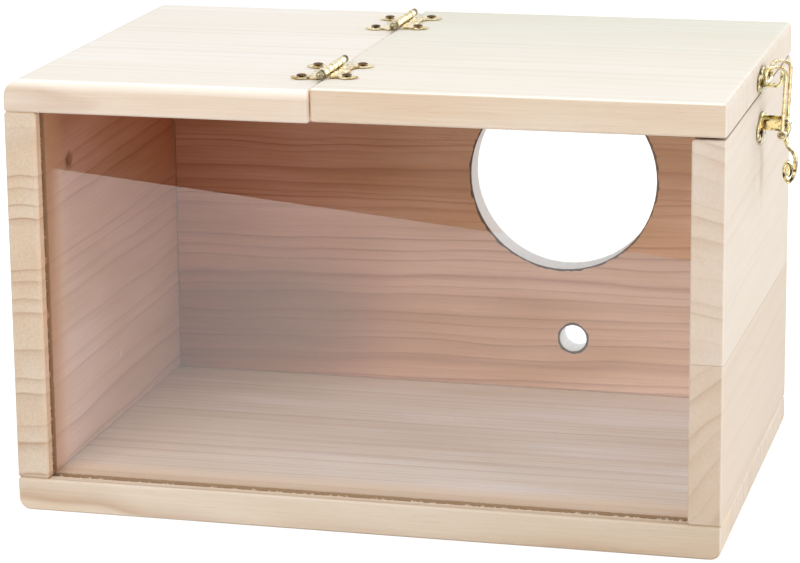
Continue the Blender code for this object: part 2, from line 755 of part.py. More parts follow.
def rivet(name, half_length):
    """A pin with a low round head beyond each half length."""
    head = LATCH_PIN_RADIUS + RIVET_FLARE
    end = half_length + RIVET_HEAD
    half = [(0, end), (head * 0.7, end), (head, end - RIVET_HEAD / 2), (head, half_length),
            (LATCH_PIN_RADIUS, half_length)]
    profile = half + [(radius, -height) for radius, height in half[::-1]]
    return turned(name, profile, NAIL_STEPS)


def add_pins(box, lever_axis):
    """The pin that the lever turns on, and the one in the lever that the loop turns on."""
    add_piece("lever_pin", rivet("lever_pin", EAR_OUTER + FIT), facing(PIVOT, (0, 1, 0)), box,
              "brass")
    add_piece("loop_pin", rivet("loop_pin", EYE_INNER + EYE_WIDTH + FIT),
              facing(LOOP_PIVOT, (0, 1, 0)), lever_axis, "brass")


def head_outline():
    """The lever's head: round both pins, straight between them."""
    start = LINK_ANGLE
    return (arc((PIVOT.x, PIVOT.z), EAR_RADIUS, start + 90, start + 270, 8)
            + arc((LOOP_PIVOT.x, LOOP_PIVOT.z), EAR_RADIUS, start - 90, start + 90, 8))


def tail_mesh():
    """A strip bent along the tail's path: narrow behind the head, wider and crowned at its curl."""
    points = [(PIVOT.x + out * TAIL_REACH, PIVOT.z - down * TAIL_DROP)
              for out, down in TAIL_SHARES]
    path = smooth_path(points, 2)
    columns = 4
    bm = bmesh.new()
    bmesh.ops.create_grid(bm, x_segments=columns, y_segments=len(path) - 1, size=0.5)
    for vert in bm.verts:
        across, along = 2 * vert.co.x, vert.co.y + 0.5
        x, z = path[round(along * (len(path) - 1))]
        grown = min(1, along / TAIL_WIDE_SHARE)
        width = TAIL_NARROW + (TAIL_WIDE - TAIL_NARROW) * grown * grown * (3 - 2 * grown)
        vert.co = (x - TAIL_CROWN * across * across, across * width / 2, z)
    shape = bpy.data.objects.new("latch_tail", mesh_of(bm, "latch_tail"))
    solid = shape.modifiers.new("Thickness", "SOLIDIFY")
    solid.thickness = TAIL_THICKNESS
    solid.offset = 0
    solid.use_even_offset = True
    return settle(shape)


def add_lever(lever_axis):
    """The lever: a bored head with a curled finger tail."""
    mesh = sheet("latch_lever", head_outline(), LEVER_WIDTH)
    lever = add_piece("latch_lever", mesh, ACROSS, lever_axis, "brass")
    combine(lever, "UNION", add_cutter("latch_tail", tail_mesh()))
    cut_bore(lever, "lever_bore", PIVOT)
    cut_bore(lever, "loop_pin_bore", LOOP_PIVOT)


def loop_path():
    """From one eye up the arm, over its crown and down to the bar in the hook, and back."""
    crown = BAR + Vector((0, 0, CROWN_RISE))
    knee = Vector((LOOP_PIVOT.x + KNEE_OUT, 0, crown.z))
    start = LOOP_PIVOT + (knee - LOOP_PIVOT).normalized() * (EYE_RADIUS - EYE_WALL / 2)
    side = [start, knee, crown, BAR]
    corners = [(place.x, -ARM, place.z) for place in side]
    corners += [(place.x, ARM, place.z) for place in side[::-1]]
    bends = [CROWN_BEND, CROWN_BEND, LOOP_BEND]
    return fillet(corners, bends + bends[::-1], ROUND_STEPS)


def add_loop(loop_axis):
    """The wire loop, with a flattened eye at the end of each arm."""
    mesh = wire("latch_loop", loop_path(), WIRE_RADIUS)
    loop = add_piece("latch_loop", mesh, ON_TOP, loop_axis, "brass")
    for label, way in (("near", -1), ("far", 1)):
        eye = rod(f"loop_eye_{label}", EYE_RADIUS, EYE_WIDTH, TURN_STEPS)
        centre = LOOP_PIVOT + Vector((0, way * ARM, 0))
        combine(loop, "UNION", add_cutter(f"loop_eye_{label}", eye, facing(centre, (0, 1, 0))))
    cut_bore(loop, "loop_bore", LOOP_PIVOT)


def main():
    """The whole nest box."""
    box = add_axis("box", (0, 0, 0))
    lid = add_axis("lid_axis", (HINGE_X, 0, HINGE_Z))
    lever_axis = add_axis("lever_axis", PIVOT)
    loop_axis = add_axis("loop_axis", LOOP_PIVOT)
    boards = add_boards(box, lid)
    cut_window_slot(boards)
    add_window(box)
    cut_back_holes(boards)
    add_brads(boards, box)
    add_corner_dowels(boards, box)
    add_hinges(boards, box, lid)
    add_strike_plate(boards, lid)
    add_base_plate(boards, box)
    add_pins(box, lever_axis)
    add_lever(lever_axis)
    add_loop(loop_axis)


clear_scene()
PIECES = new_collection("parrot_nest_box")
CUTTERS = new_collection("cutters")
main()
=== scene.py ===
"""Parrot nest box: its looks, stage, lamps and camera.

The boards are the CAD boards, each in a wood of its own. The window, the hinges, the nails and the
latch are replaced by finer pieces in the same places.

Metres, +Z up. The origin is the centre of the underside. The window faces -Y, the latch +X.
"""

import math
from functools import partial

import bmesh
import bpy
import numpy as np
from mathutils import Matrix, Vector


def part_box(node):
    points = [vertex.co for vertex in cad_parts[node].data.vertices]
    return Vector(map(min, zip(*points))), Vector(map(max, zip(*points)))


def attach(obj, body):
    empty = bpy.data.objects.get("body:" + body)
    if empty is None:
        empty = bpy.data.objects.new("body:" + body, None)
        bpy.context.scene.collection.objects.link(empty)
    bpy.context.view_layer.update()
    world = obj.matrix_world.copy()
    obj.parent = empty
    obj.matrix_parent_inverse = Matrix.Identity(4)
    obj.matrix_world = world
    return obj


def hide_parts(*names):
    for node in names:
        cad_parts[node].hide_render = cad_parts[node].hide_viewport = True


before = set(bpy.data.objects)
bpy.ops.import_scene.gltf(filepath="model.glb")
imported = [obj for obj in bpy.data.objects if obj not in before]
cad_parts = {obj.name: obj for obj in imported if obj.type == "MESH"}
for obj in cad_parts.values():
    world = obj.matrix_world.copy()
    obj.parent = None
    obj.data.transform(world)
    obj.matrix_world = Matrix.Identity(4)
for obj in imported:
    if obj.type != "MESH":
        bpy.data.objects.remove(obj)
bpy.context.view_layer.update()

MM = 0.001
MERGE = 0.000002
RIGHTWARDS, REARWARDS, UPWARDS = (1, 0, 0), (0, 1, 0), (0, 0, 1)

# The box, as its CAD model has it
BOX_LENGTH = 0.250
BOX_DEPTH = 0.160
BOX_HEIGHT = 0.155
BOARD = 0.0115
FIT = 0.0003
LID_STEP = 0.0006
LEFT, RIGHT = -BOX_LENGTH / 2, BOX_LENGTH / 2
FRONT, BACK = -BOX_DEPTH / 2, BOX_DEPTH / 2
TOP_UNDER = BOX_HEIGHT - BOARD
LID_UNDER = TOP_UNDER + LID_STEP
LID_TOP = BOX_HEIGHT + LID_STEP
WINDOW_FRONT = FRONT + 0.0043
GROOVE_WIDTH = 0.0036
GROOVE_REAR = WINDOW_FRONT - FIT + GROOVE_WIDTH
GAP_DEPTH = 0.0040
TEAR = 0.0004
SKIN = 0.0008
GLUE_SHORT = 0.0007
STRIP_WIDTH = 0.00013
HOLE_SKIN = 0.0001
RIM_NEAR, RIM_FAR = 0.0003, 0.0011
WINDOW_CORNER = 0.0006
WINDOW_EDGE = 0.00015
ENTRANCE = (0.0413, 0.0953, 0.03575)
PERCH_HOLE = (0.0452, 0.0325, 0.00525)

# Hinges
HINGE_X, HINGE_Z = -0.0156, 0.1574
SEAM_GAP = 0.0008
HINGE_YS = {"front": -0.050, "rear": 0.050}
LEAF_THICKNESS = 0.0006
LEAF_EDGE = 0.00018
LEAF_REACH = 0.0120
LEAF_START = 0.0022
LEAF_WAIST = 0.0042
LEAF_CUSP = 0.0066
LOBE_RADIUS = 0.0030
NAIL_REACH = 0.0080
NAIL_SPREAD = 0.0105
BARREL_RADIUS = 0.0015
BARREL_LENGTH = 0.0260
KNUCKLES = 5
NECK_REACH = 0.0032
ROLL_START = 0.0004
FINIAL_RADIUS = 0.0014
FINIAL_NECK = 0.0009
FINIAL_COLLAR = 0.0007
PIN_RADIUS = 0.0006
NAIL_HEAD_RADIUS = 0.0018
NAIL_HEAD_HEIGHT = 0.0006
NAIL_SHANK = 0.0058
NAIL_LENGTH = 0.0070
BROKEN_EDGE = 0.0001

# Latch
PLATE_THICKNESS = 0.0008
PLATE_EDGE = 0.0002
PLATE_FACE = RIGHT + FIT + PLATE_THICKNESS
PLATE_REACH = 0.0120
PLATE_NAIL_REACH = 0.0088
PLATE_LOBE_RADIUS = 0.0030
WAIST_NOTCH = 0.0016
STRIKE_LOW, STRIKE_HIGH = LID_UNDER + 0.0004, LID_TOP - 0.0020
BASE_HIGH = LID_UNDER - 0.0066
BASE_LOW = BASE_HIGH - 0.0115
HOOK_THICKNESS = 0.0010
HOOK_WIDTH = 0.0060
HOOK_FLOOR = LID_UNDER + 0.0034
HOOK_BEND = 0.0020
PIVOT = (RIGHT + 0.0086, LID_UNDER - 0.0105)
LINK = 0.0030
LINK_ANGLE = -96
LEVER_TURN = 140
LATCH_PIN_RADIUS = 0.0007
EAR_RADIUS = 0.0019
EAR_INNER = 0.0031
EAR_THICKNESS = 0.0010
LEVER_WIDTH = 0.0054
LEVER_EDGE = 0.0005
RIVET_HEAD = 0.0005
RIVET_FLARE = 0.0005
WIRE_RADIUS = 0.0007
WIRE_SIDES = 16
BAR_PLAY = 0.0006
EYE_WALL = 0.0007
EYE_WIDTH = 0.0017
EYE_PLAY = 0.00005
EYE_EDGE = 0.0003
KNEE_OUT = 0.0012
CROWN_RISE = 0.0060
CROWN_BEND = 0.0028
LOOP_BEND = 0.0016
TAIL_THICKNESS = 0.0010
TAIL_REACH = 0.0040
TAIL_DROP = 0.0207
TAIL_NARROW = 0.0046
TAIL_WIDE = 0.0066
TAIL_CROWN = 0.0004
TAIL_SHARES = ((0.00, 0.10), (0.08, 0.26), (0.30, 0.37), (0.85, 0.50), (1.00, 0.67), (0.90, 0.86),
               (0.45, 1.00), (0.02, 0.91), (-0.06, 0.76), (0.16, 0.66), (0.44, 0.69),
               (0.58, 0.78), (0.46, 0.88), (0.26, 0.84))
TAIL_WIDE_SHARE = 0.55

# Stage
FLOOR_REACH, FLOOR_DROP = 6.0, 0.0002
DARK_SIDE, DARK_FAR = 0.9, -1.4
FLAG_WIDTH = 0.30

# Camera, fitted to the photograph's edges
CAMERA_PLACE = (0.2704, -1.0729, 0.3532)
CAMERA_YAW, CAMERA_DOWN, CAMERA_ROLL = 0.26884, 0.23767, -0.014693
CAMERA_LENS = 141.465
CAMERA_SHIFT = (0.06663, -0.05057)

# How a flat form stands: on the box's right end, or across the box
ON_END = Matrix(((0, 0, 1, 0), (1, 0, 0, 0), (0, 1, 0, 0), (0, 0, 0, 1)))
ACROSS = Matrix(((1, 0, 0, 0), (0, 0, 1, 0), (0, 1, 0, 0), (0, 0, 0, 1)))


# Mesh helpers

def put(name, data):
    """An object in the scene that shows a mesh, a lamp or a camera."""
    piece = bpy.data.objects.new(name, data)
    bpy.context.scene.collection.objects.link(piece)
    return piece


def put_in_scene(name, points, faces, smooth=32):
    """A mesh piece from arrays of points and faces, merged, with its faces turned outwards."""
    mesh = bpy.data.meshes.new(name)
    mesh.from_pydata(points.tolist(), [], faces)
    bm = bmesh.new()
    bm.from_mesh(mesh)
    bmesh.ops.remove_doubles(bm, verts=bm.verts, dist=MERGE)
    bmesh.ops.dissolve_degenerate(bm, edges=bm.edges, dist=MERGE)
    bmesh.ops.recalc_face_normals(bm, faces=bm.faces)
    bm.to_mesh(mesh)
    bm.free()
    mesh.shade_smooth()
    mesh.set_sharp_from_angle(angle=math.radians(smooth))
    return put(name, mesh)


def shell(rows):
    """A closed form from a stack of rings, an array of (ring, point, 3): four-sided faces from
    each ring to the next, and one face over each end."""
    count, columns = rows.shape[:2]
    row, column = np.meshgrid(np.arange(count - 1), np.arange(columns), indexing="ij")
    after = (column + 1) % columns
    corners = (row * columns + column, row * columns + after,
               (row + 1) * columns + after, (row + 1) * columns + column)
    faces = np.stack(corners, -1).reshape(-1, 4).tolist()
    faces.append(list(range(columns))[::-1])
    faces.append(list(range((count - 1) * columns, count * columns)))
    return rows.reshape(-1, 3), faces


def joined(*forms):
    """Several (points, faces) forms as one."""
    points, faces, first = [], [], 0
    for some_points, some_faces in forms:
        points.append(some_points)
        faces += [[first + i for i in face] for face in some_faces]
        first += len(some_points)
    return np.concatenate(points), faces


def placed(form, place):
    """A form moved by a matrix."""
    points, faces = form
    turn = np.array(place)
    return points @ turn[:3, :3].T + turn[:3, 3], faces


def full_turn(steps):
    """Even angles round a full turn."""
    return np.linspace(0, 2 * np.pi, steps, endpoint=False)


def lathe(profile, steps=32):
    """A profile of (radius, height) turned about Z: x = r cos a, y = r sin a, z = height."""
    radius, height = np.array(profile).T
    angle = full_turn(steps)
    rows = np.stack([radius[:, None] * np.cos(angle), radius[:, None] * np.sin(angle),
                     np.repeat(height[:, None], steps, 1)], -1)
    return shell(rows)


def dome(radius, base, rise, end, count):
    """The profile of a round head, from its middle out to an angle in degrees."""
    return [(radius * math.sin(a), base + rise * math.cos(a))
            for a in np.radians(np.linspace(0, end, count))]


def mirrored(half):
    """A profile from one half and its mirror image."""
    return half + [(radius, -height) for radius, height in half[::-1]]


def inset(outline, amount):
    """An outline moved inwards by an amount: each corner goes along the mean of its two sides'
    normals."""
    ahead = np.roll(outline, -1, 0) - outline
    ahead /= np.linalg.norm(ahead, axis=1, keepdims=True)
    normal = np.stack([-ahead[:, 1], ahead[:, 0]], 1)
    mean = normal + np.roll(normal, 1, 0)
    mean /= np.maximum((mean * mean).sum(1, keepdims=True) / 2, 0.6)
    x, y = outline.T
    turns = np.sign(np.sum(x * np.roll(y, -1) - y * np.roll(x, -1)))
    return outline + turns * amount * mean


def stamped(outline, low, high, edge):
    """A pressed plate between two heights: its outline goes up, in rings drawn inwards by a
    quarter circle at both edges."""
    outline = np.array(outline, float)
    arcs = np.radians(np.linspace(0, 90, 5))
    rounds = [(edge * (1 - math.sin(a)), low + edge * (1 - math.cos(a))) for a in arcs]
    rounds += [(edge * (1 - math.cos(a)), high - edge * (1 - math.sin(a))) for a in arcs]
    rings = [np.column_stack([inset(outline, draw), np.full(len(outline), height)])
             for draw, height in rounds]
    return shell(np.array(rings))


def directions(path):
    """The direction of a path at each of its points, one unit long."""
    along = np.gradient(path, axis=0)
    return along / np.linalg.norm(along, axis=1, keepdims=True)


def carried(path, widths, thickness, crown=0.0, sides=20):
    """A strip carried along a path in the XZ plane: at each point a rounded section, a
    superellipse whose long axis lies along Y and whose short axis is the path's own normal. Its
    middle is raised by the crown, and its ends are drawn in."""
    path = np.array(path, float)
    across = np.array(REARWARDS, float)
    normal = np.cross(directions(path), across)
    angle = full_turn(sides)
    wide = np.sign(np.cos(angle)) * np.abs(np.cos(angle)) ** 0.35
    thick = np.sign(np.sin(angle)) * np.abs(np.sin(angle)) ** 0.6
    run = np.concatenate([[0], np.cumsum(np.linalg.norm(np.diff(path, axis=0), axis=1))])
    reach = thickness / 2
    draw = np.sqrt(1 - (1 - np.clip(np.minimum(run, run[-1] - run) / reach, 0.12, 1)) ** 2)
    half = np.asarray(widths) / 2 - reach * (1 - draw)
    rows = (path[:, None, :] + half[:, None, None] * wide[None, :, None] * across
            + (reach * draw)[:, None, None] * thick[None, :, None] * normal[:, None, :]
            - crown * (wide ** 2)[None, :, None] * normal[:, None, :])
    return shell(rows)


def wire_along(path, radius):
    """A round wire along a path: circles in the plane square to the path, turned as little as
    can be from one to the next."""
    path = np.array(path, float)
    along = directions(path)
    side = np.cross(along[0], RIGHTWARDS)
    sides_at = []
    for direction in along:
        side = side - direction * (side @ direction)
        side = side / np.linalg.norm(side)
        sides_at.append(side)
    sides_at = np.array(sides_at)
    other = np.cross(along, sides_at)
    angle = full_turn(WIRE_SIDES)
    rows = (path[:, None, :] + radius * (np.cos(angle)[None, :, None] * sides_at[:, None, :]
                                         + np.sin(angle)[None, :, None] * other[:, None, :]))
    return shell(rows)


def smooth_path(points, steps):
    """A smooth curve through points: a cubic in each stretch, bent by the slopes at its ends."""
    points = np.array(points, float)
    ends = np.concatenate([points[:1], points, points[-1:]])
    a, b, c, d = (ends[i:len(ends) - 3 + i, None, :] for i in range(4))
    t = (np.arange(steps) / steps)[None, :, None]
    curve = (b + t * (c - a) / 2 + t * t * (a - 2.5 * b + 2 * c - d / 2)
             + t ** 3 * (1.5 * b - a / 2 - 1.5 * c + d / 2))
    return np.concatenate([curve.reshape(-1, points.shape[1]), points[-1:]])


def rounded_path(points, radii, steps=10, runs=6):
    """Straight runs between points with each inner corner turned into an arc of its radius."""
    points = [np.array(point, float) for point in points]
    path = [points[0]]
    for before, corner, after, radius in zip(points, points[1:], points[2:], radii):
        back = (before - corner) / np.linalg.norm(before - corner)
        ahead = (after - corner) / np.linalg.norm(after - corner)
        half = math.acos(np.clip(back @ ahead, -1, 1)) / 2
        middle = (back + ahead) / np.linalg.norm(back + ahead)
        centre = corner + middle * radius / math.sin(half)
        first = (corner + back * radius / math.tan(half) - centre) / radius
        last = (corner + ahead * radius / math.tan(half) - centre) / radius
        sweep = math.pi - 2 * half
        t = np.linspace(0, 1, steps + 1)[:, None]
        curve = centre + radius * (np.sin((1 - t) * sweep) * first + np.sin(t * sweep) * last
                                   ) / math.sin(sweep)
        path.extend(list(np.linspace(path[-1], curve[0], runs, endpoint=False)[1:]) + list(curve))
    path.extend(list(np.linspace(path[-1], points[-1], runs + 1)[1:]))
    return np.array(path)


def about(centre, radius, angle):
    """Points about a centre at a radius, angles in degrees."""
    turn = np.radians(angle)
    return np.column_stack([centre[0] + radius * np.cos(turn), centre[1] + radius * np.sin(turn)])


def arc(centre, radius, start, end, steps):
    """Points on an arc, angles in degrees."""
    return about(centre, radius, np.linspace(start, end, steps + 1))


def bow(start, pull, end, steps):
    """Points on the curve that leaves start towards pull and comes to end from it."""
    t = (np.arange(1, steps) / steps)[:, None]
    start, pull, end = map(np.array, (start, pull, end))
    return (1 - t) ** 2 * start + 2 * t * (1 - t) * pull + t * t * end


def facing(form, point, direction):
    """A form moved so that its origin lies at a point and its Z points in a direction."""
    turn = Vector(direction).to_track_quat("Z", "Y")
    return placed(form, Matrix.Translation(point) @ turn.to_matrix().to_4x4())


# Material helpers

def linear(code):
    """An sRGB hex colour as linear red, green and blue, with full alpha."""
    values = [int(code[i:i + 2], 16) / 255 for i in (1, 3, 5)]
    return tuple(v / 12.92 if v <= 0.04045 else ((v + 0.055) / 1.055) ** 2.4
                 for v in values) + (1.0,)


def add_node(tree, kind, settings=None, **inputs):
    """Add a node with its settings. Its kind may name an operation after a space. Each input is a
    value, a colour's hex code, a socket, or a node for its first output in use, and is named as
    on the node with _ for a space, or by its place, as i0."""
    kind, _, operation = kind.partition(" ")
    node = tree.nodes.new("ShaderNode" + kind)
    if operation:
        node.operation = operation
    for name, value in (settings or {}).items():
        if name == "stops":
            ramp = node.color_ramp
            while len(ramp.elements) < len(value):
                ramp.elements.new(0.5)
            for element, (position, grey) in zip(ramp.elements, value):
                element.position = position
                element.color = (grey, grey, grey, 1)
        else:
            setattr(node, name, value)
    for name, value in inputs.items():
        by_place = name[0] == "i" and name[1:].isdigit()
        socket = node.inputs[int(name[1:]) if by_place else name.replace("_", " ")]
        if isinstance(value, str):
            value = linear(value)
        if isinstance(value, bpy.types.Node):
            value = next(output for output in value.outputs if output.enabled)
        if isinstance(value, bpy.types.NodeSocket):
            tree.links.new(value, socket)
        else:
            socket.default_value = value
    return node


def bare_nodes(owner):
    """Clear the nodes of a material or the world, and return the function that adds one there."""
    owner.use_nodes = True
    owner.node_tree.nodes.clear()
    return partial(add_node, owner.node_tree)


def new_material(name):
    """A material without nodes, the function that adds one, and the place on the object in
    metres."""
    material = bpy.data.materials.new(name)
    add = bare_nodes(material)
    return material, add, add("TexCoord").outputs["Object"]


def wear(piece, material):
    """Give a piece one material, in place of any that it has."""
    piece.data.materials.clear()
    piece.data.materials.append(material)


def blend_in(add, factor, below, above, way="MIX"):
    """The colour below, with the colour above over it by a factor."""
    return add("Mix", {"data_type": "RGBA", "blend_type": way}, i0=factor, i6=below, i7=above)


# The wood's tones: what its grain multiplies it by, and its paler and darker places
WARM_CAST = "#F6EADA"
INNER_CAST = "#E2D2AE"
LINE_CAST = "#B98B60"
FIBRE_CAST = "#DDBE9A"
# Painted light: the tops' near-white tone, paler than the same boards' fronts, for the light from
# above.
TOP_PAINTED_LIGHT = "#FFFBF4"
END_FACE = "#ECE0D2"
# Painted light: a pale tone on the ends in the top's narrow seam, against its shade.
SEAM_PAINTED_LIGHT = "#FFEFDC"
STRIP_CAST = "#F9F5F1"
STRIP_SEAM = "#B08E70"
# Painted light: the hole walls in plain white, as if lit brightly from behind.
HOLE_WALL_PAINTED_LIGHT = "#FFFFFF"
HOLE_RIM = "#46301F"
WOOD_GLOSS = 0.35

# Paulownia: pale, light wood sawn and sanded bare. Its rings are wide and faint with a thin
# browner late line, its pores show as short dashes along the grain, and it has little gloss.

def paulownia(name, box, pith, ring, tilt, sway, front, contrast, seed, turn=0, faces=(),
              inside=None, groove=None, strip=None, holes=(), marks=()):
    """The wood of one board.

    box is the board's own, for its paler edges, partly sanded wear and partly painted highlight.
    pith is where the tree's middle line runs, in millimetres, and ring the rings' width. tilt
    turns the rings out of the grain's length, and sway is how far they wander. front is the wood's
    tone at its left end and at its right end.
    contrast is how strongly the grain shows on the sides, on the paler faces and inside. turn
    turns the grain's length from X to Y. faces are the faces with tones of their own, each a
    direction, where along it its tone starts and is full, and the tone; the tops' near-white tones
    and the pale seam ends among them are painted light.
    inside is the same for the wood behind the window, with the tones at both ends: painted light
    and shade for the light inside the box, the side walls darker and redder higher up, the back
    wall darker at its left and the floor paler. groove is the tone of the window's groove, dark
    for its ragged fibres and for painted shade in its mouth. strip is a seam's direction and
    place, and how far the grain below it lies from the grain above. holes and marks are as
    hole_light_and_rim and mark_or_shade take them, with the tone of each of the marks after its
    radii.
    """
    material, add, place = new_material("paulownia_" + name)
    grain = add("Mapping", Vector=place, Rotation=(0, 0, turn), Scale=(1 / MM, 1 / MM, 1 / MM))
    if strip:
        normal, distance, shift = strip
        height = add("VectorMath DOT_PRODUCT", i0=place, i1=normal)
        below = add("Math LESS_THAN", i0=height, i1=distance)
        moved = add("VectorMath SCALE", i0=shift, Scale=below)
        grain = add("VectorMath ADD", i0=grain, i1=moved)
    late = growth_rings(add, grain, pith, ring, tilt, sway, seed)
    fibre = streaks(add, grain, (seed, 0, seed), (0.022, 1.1, 1.1), 4.0, (0.32, 0.70))
    pores = streaks(add, grain, (0, seed, seed), (0.14, 2.4, 2.4), 2.0, (0.60, 0.72))
    cloud = streaks(add, grain, (seed, seed, seed), (0.008, 0.035, 0.035), 2.0, (0.36, 0.64))

    share = along(add, place, RIGHTWARDS, LEFT, RIGHT)
    colour = blend_in(add, share, front[0], front[1])
    strength = contrast[0]
    for direction, start, end, tone in faces:
        share = along(add, place, direction, start, end)
        colour = blend_in(add, share, colour, tone)
        strength = add("MapRange", Value=share, i3=strength, i4=contrast[1])
    room = cavity(add, place)
    # Behind the window, a tint of painted light and shade for the light inside the box.
    if inside:
        direction, start, end, first, last = inside
        share = along(add, place, direction, start, end)
        tone = blend_in(add, share, first, last)
        colour = blend_in(add, room, colour, tone)
    bare = colour
    if strip:
        colour = blend_in(add, below, colour, STRIP_CAST, "MULTIPLY")
        seam = add("Math COMPARE", i0=height, i1=distance, i2=STRIP_WIDTH)
        seam = add("Math MULTIPLY", i0=seam, i1=0.5)
        colour = blend_in(add, seam, colour, STRIP_SEAM, "MULTIPLY")
    strength = add("MapRange", Value=room, i3=strength, i4=contrast[2])
    cloud_cast = blend_in(add, room, WARM_CAST, INNER_CAST)
    for pattern, weight, cast in ((cloud, 1.00, cloud_cast), (late, 0.70, LINE_CAST),
                                  (fibre, 0.35, FIBRE_CAST), (pores, 0.20, LINE_CAST)):
        share = add("Math MULTIPLY", i0=pattern, i1=weight)
        share = add("Math MULTIPLY", {"use_clamp": True}, i0=share, i1=strength)
        colour = blend_in(add, share, colour, cast, "MULTIPLY")
    # Paler along the edges: sanded wear, and a painted highlight on their rounds.
    colour = blend_in(add, edge_wear_and_highlight(add, place, box), colour, bare)
    gloss = WOOD_GLOSS
    # The groove's dark tone: ragged fibres, and painted shade in its mouth.
    if groove:
        torn_and_shaded = torn_and_shaded_groove(add, place)
        colour = blend_in(add, torn_and_shaded, colour, groove)
        gloss = add("MapRange", Value=torn_and_shaded, i3=gloss, i4=0.0)
    # Painted light on the hole walls, and a dark ring round each hole.
    for hole in holes:
        wall, rim = hole_light_and_rim(add, place, *hole)
        colour = blend_in(add, wall, colour, HOLE_WALL_PAINTED_LIGHT)
        colour = blend_in(add, rim, colour, HOLE_RIM)
    # Knots, stains and patches of painted shade.
    for centre, radii, tone, amount, ragged in marks:
        spot = mark_or_shade(add, place, centre, radii, amount, ragged)
        colour = blend_in(add, spot, colour, tone)

    rough = add("MapRange", Value=fibre, i3=0.55, i4=0.72)
    relief = add("Math MULTIPLY_ADD", i0=late, i1=0.5, i2=fibre)
    bump = add("Bump", Height=relief, Strength=0.35, Distance=0.00012)
    shader = add("BsdfPrincipled", Base_Color=colour, Roughness=rough, Normal=bump, IOR=1.5,
                 Specular_IOR_Level=gloss)
    add("OutputMaterial", Surface=shader)
    return material


def growth_rings(add, grain, pith, ring, tilt, sway, seed):
    """The late lines of rings about the pith: unevenly spaced, some strong and some faint, and
    swaying a little along the board."""
    waves = add("Mapping", Vector=grain, Location=(seed, seed, 0), Scale=(0.010, 0.030, 0.030))
    wander = add("TexNoise", Vector=waves, Scale=1.0, Detail=2.0)
    wander = add("VectorMath SUBTRACT", i0=wander.outputs["Color"], i1=(0.5, 0.5, 0.5))
    wander = add("VectorMath MULTIPLY", i0=wander, i1=(0, 2.4 * sway * ring, 2.4 * sway * ring))
    bent = add("Mapping", Vector=grain, Rotation=(0, tilt[0], tilt[1]),
               Location=(0, -pith[0], -pith[1]))
    bent = add("VectorMath ADD", i0=bent, i1=wander)
    bent = add("VectorMath MULTIPLY", i0=bent, i1=(0, 1, 1))
    radius = add("VectorMath LENGTH", i0=bent)
    count = add("Math DIVIDE", i0=radius, i1=ring)
    uneven = add("TexNoise", {"noise_dimensions": "1D"}, W=count, Scale=0.45, Detail=1.0)
    count = add("Math MULTIPLY_ADD", i0=uneven, i1=2.2, i2=count)
    turns = add("Math FRACT", i0=count)
    late = add("ValToRGB",
               {"stops": ((0.0, 0.0), (0.52, 0.10), (0.80, 0.50), (0.90, 1.0), (0.97, 0.1))},
               Fac=turns)
    faint = add("TexNoise", {"noise_dimensions": "1D"}, W=count, Scale=0.9)
    faint = add("MapRange", Value=faint, i1=0.35, i2=0.62, i3=0.25, i4=1.0)
    return add("Math MULTIPLY", i0=late, i1=faint)


def streaks(add, grain, shift, scale, detail, limits):
    """Noise drawn out along the grain, from 0 to 1 between its limits."""
    run = add("Mapping", Vector=grain, Location=shift, Scale=scale)
    noise = add("TexNoise", Vector=run, Scale=1.0, Detail=detail, Roughness=0.6)
    return add("MapRange", Value=noise, i1=limits[0], i2=limits[1])


def along(add, place, direction, start, end):
    """From 0 to 1 between two places along a direction."""
    reach = add("VectorMath DOT_PRODUCT", i0=place, i1=direction)
    return add("MapRange", Value=reach, i1=start, i2=end)


def greatest(add, vector):
    """The greatest of a vector's three values."""
    parts = add("SeparateXYZ", Vector=vector).outputs
    most = add("Math MAXIMUM", i0=parts[0], i1=parts[1])
    return add("Math MAXIMUM", i0=most, i1=parts[2])


def within(add, place, low, high):
    """1 inside a box, 0 outside."""
    half = [(b - a) / 2 for a, b in zip(low, high)]
    room = add("Mapping", Vector=place, Scale=[1 / side for side in half],
               Location=[-(a + b) / 2 / side for a, b, side in zip(low, high, half)])
    room = add("VectorMath ABSOLUTE", i0=room)
    return add("Math LESS_THAN", i0=greatest(add, room), i1=1.0)


def cavity(add, place):
    """1 on the faces that look into the box behind the window, and in the seams between them, and
    0 outside."""
    return within(add, place,
                  (LEFT + BOARD - GAP_DEPTH, WINDOW_FRONT - FIT, BOARD - GAP_DEPTH),
                  (RIGHT - BOARD + GAP_DEPTH, BACK - BOARD + GAP_DEPTH, TOP_UNDER - 2 * FIT))


def edge_wear_and_highlight(add, place, box):
    """Near 1 along a board's edges, which go paler there, partly for sanded wear and partly as a
    painted highlight: the middle one of its distances to the three pairs of faces, less some
    noise."""
    low, high = box
    shift = [-value / MM for value in (low + high) / 2]
    around = add("Mapping", Vector=place, Location=shift, Scale=(1 / MM, 1 / MM, 1 / MM))
    around = add("VectorMath ABSOLUTE", i0=around)
    depth = add("VectorMath SUBTRACT", i0=[value / MM for value in (high - low) / 2], i1=around)
    total = add("VectorMath DOT_PRODUCT", i0=depth, i1=(1, 1, 1))
    near = add("Math SUBTRACT", i0=total, i1=greatest(add, depth))
    noise = add("TexNoise", Vector=place, Scale=240.0, Detail=3.0)
    near = add("Math MULTIPLY_ADD", i0=noise, i1=1.2, i2=near)
    return add("MapRange", Value=near, i1=1.7, i2=0.4, i3=0.0, i4=0.55)


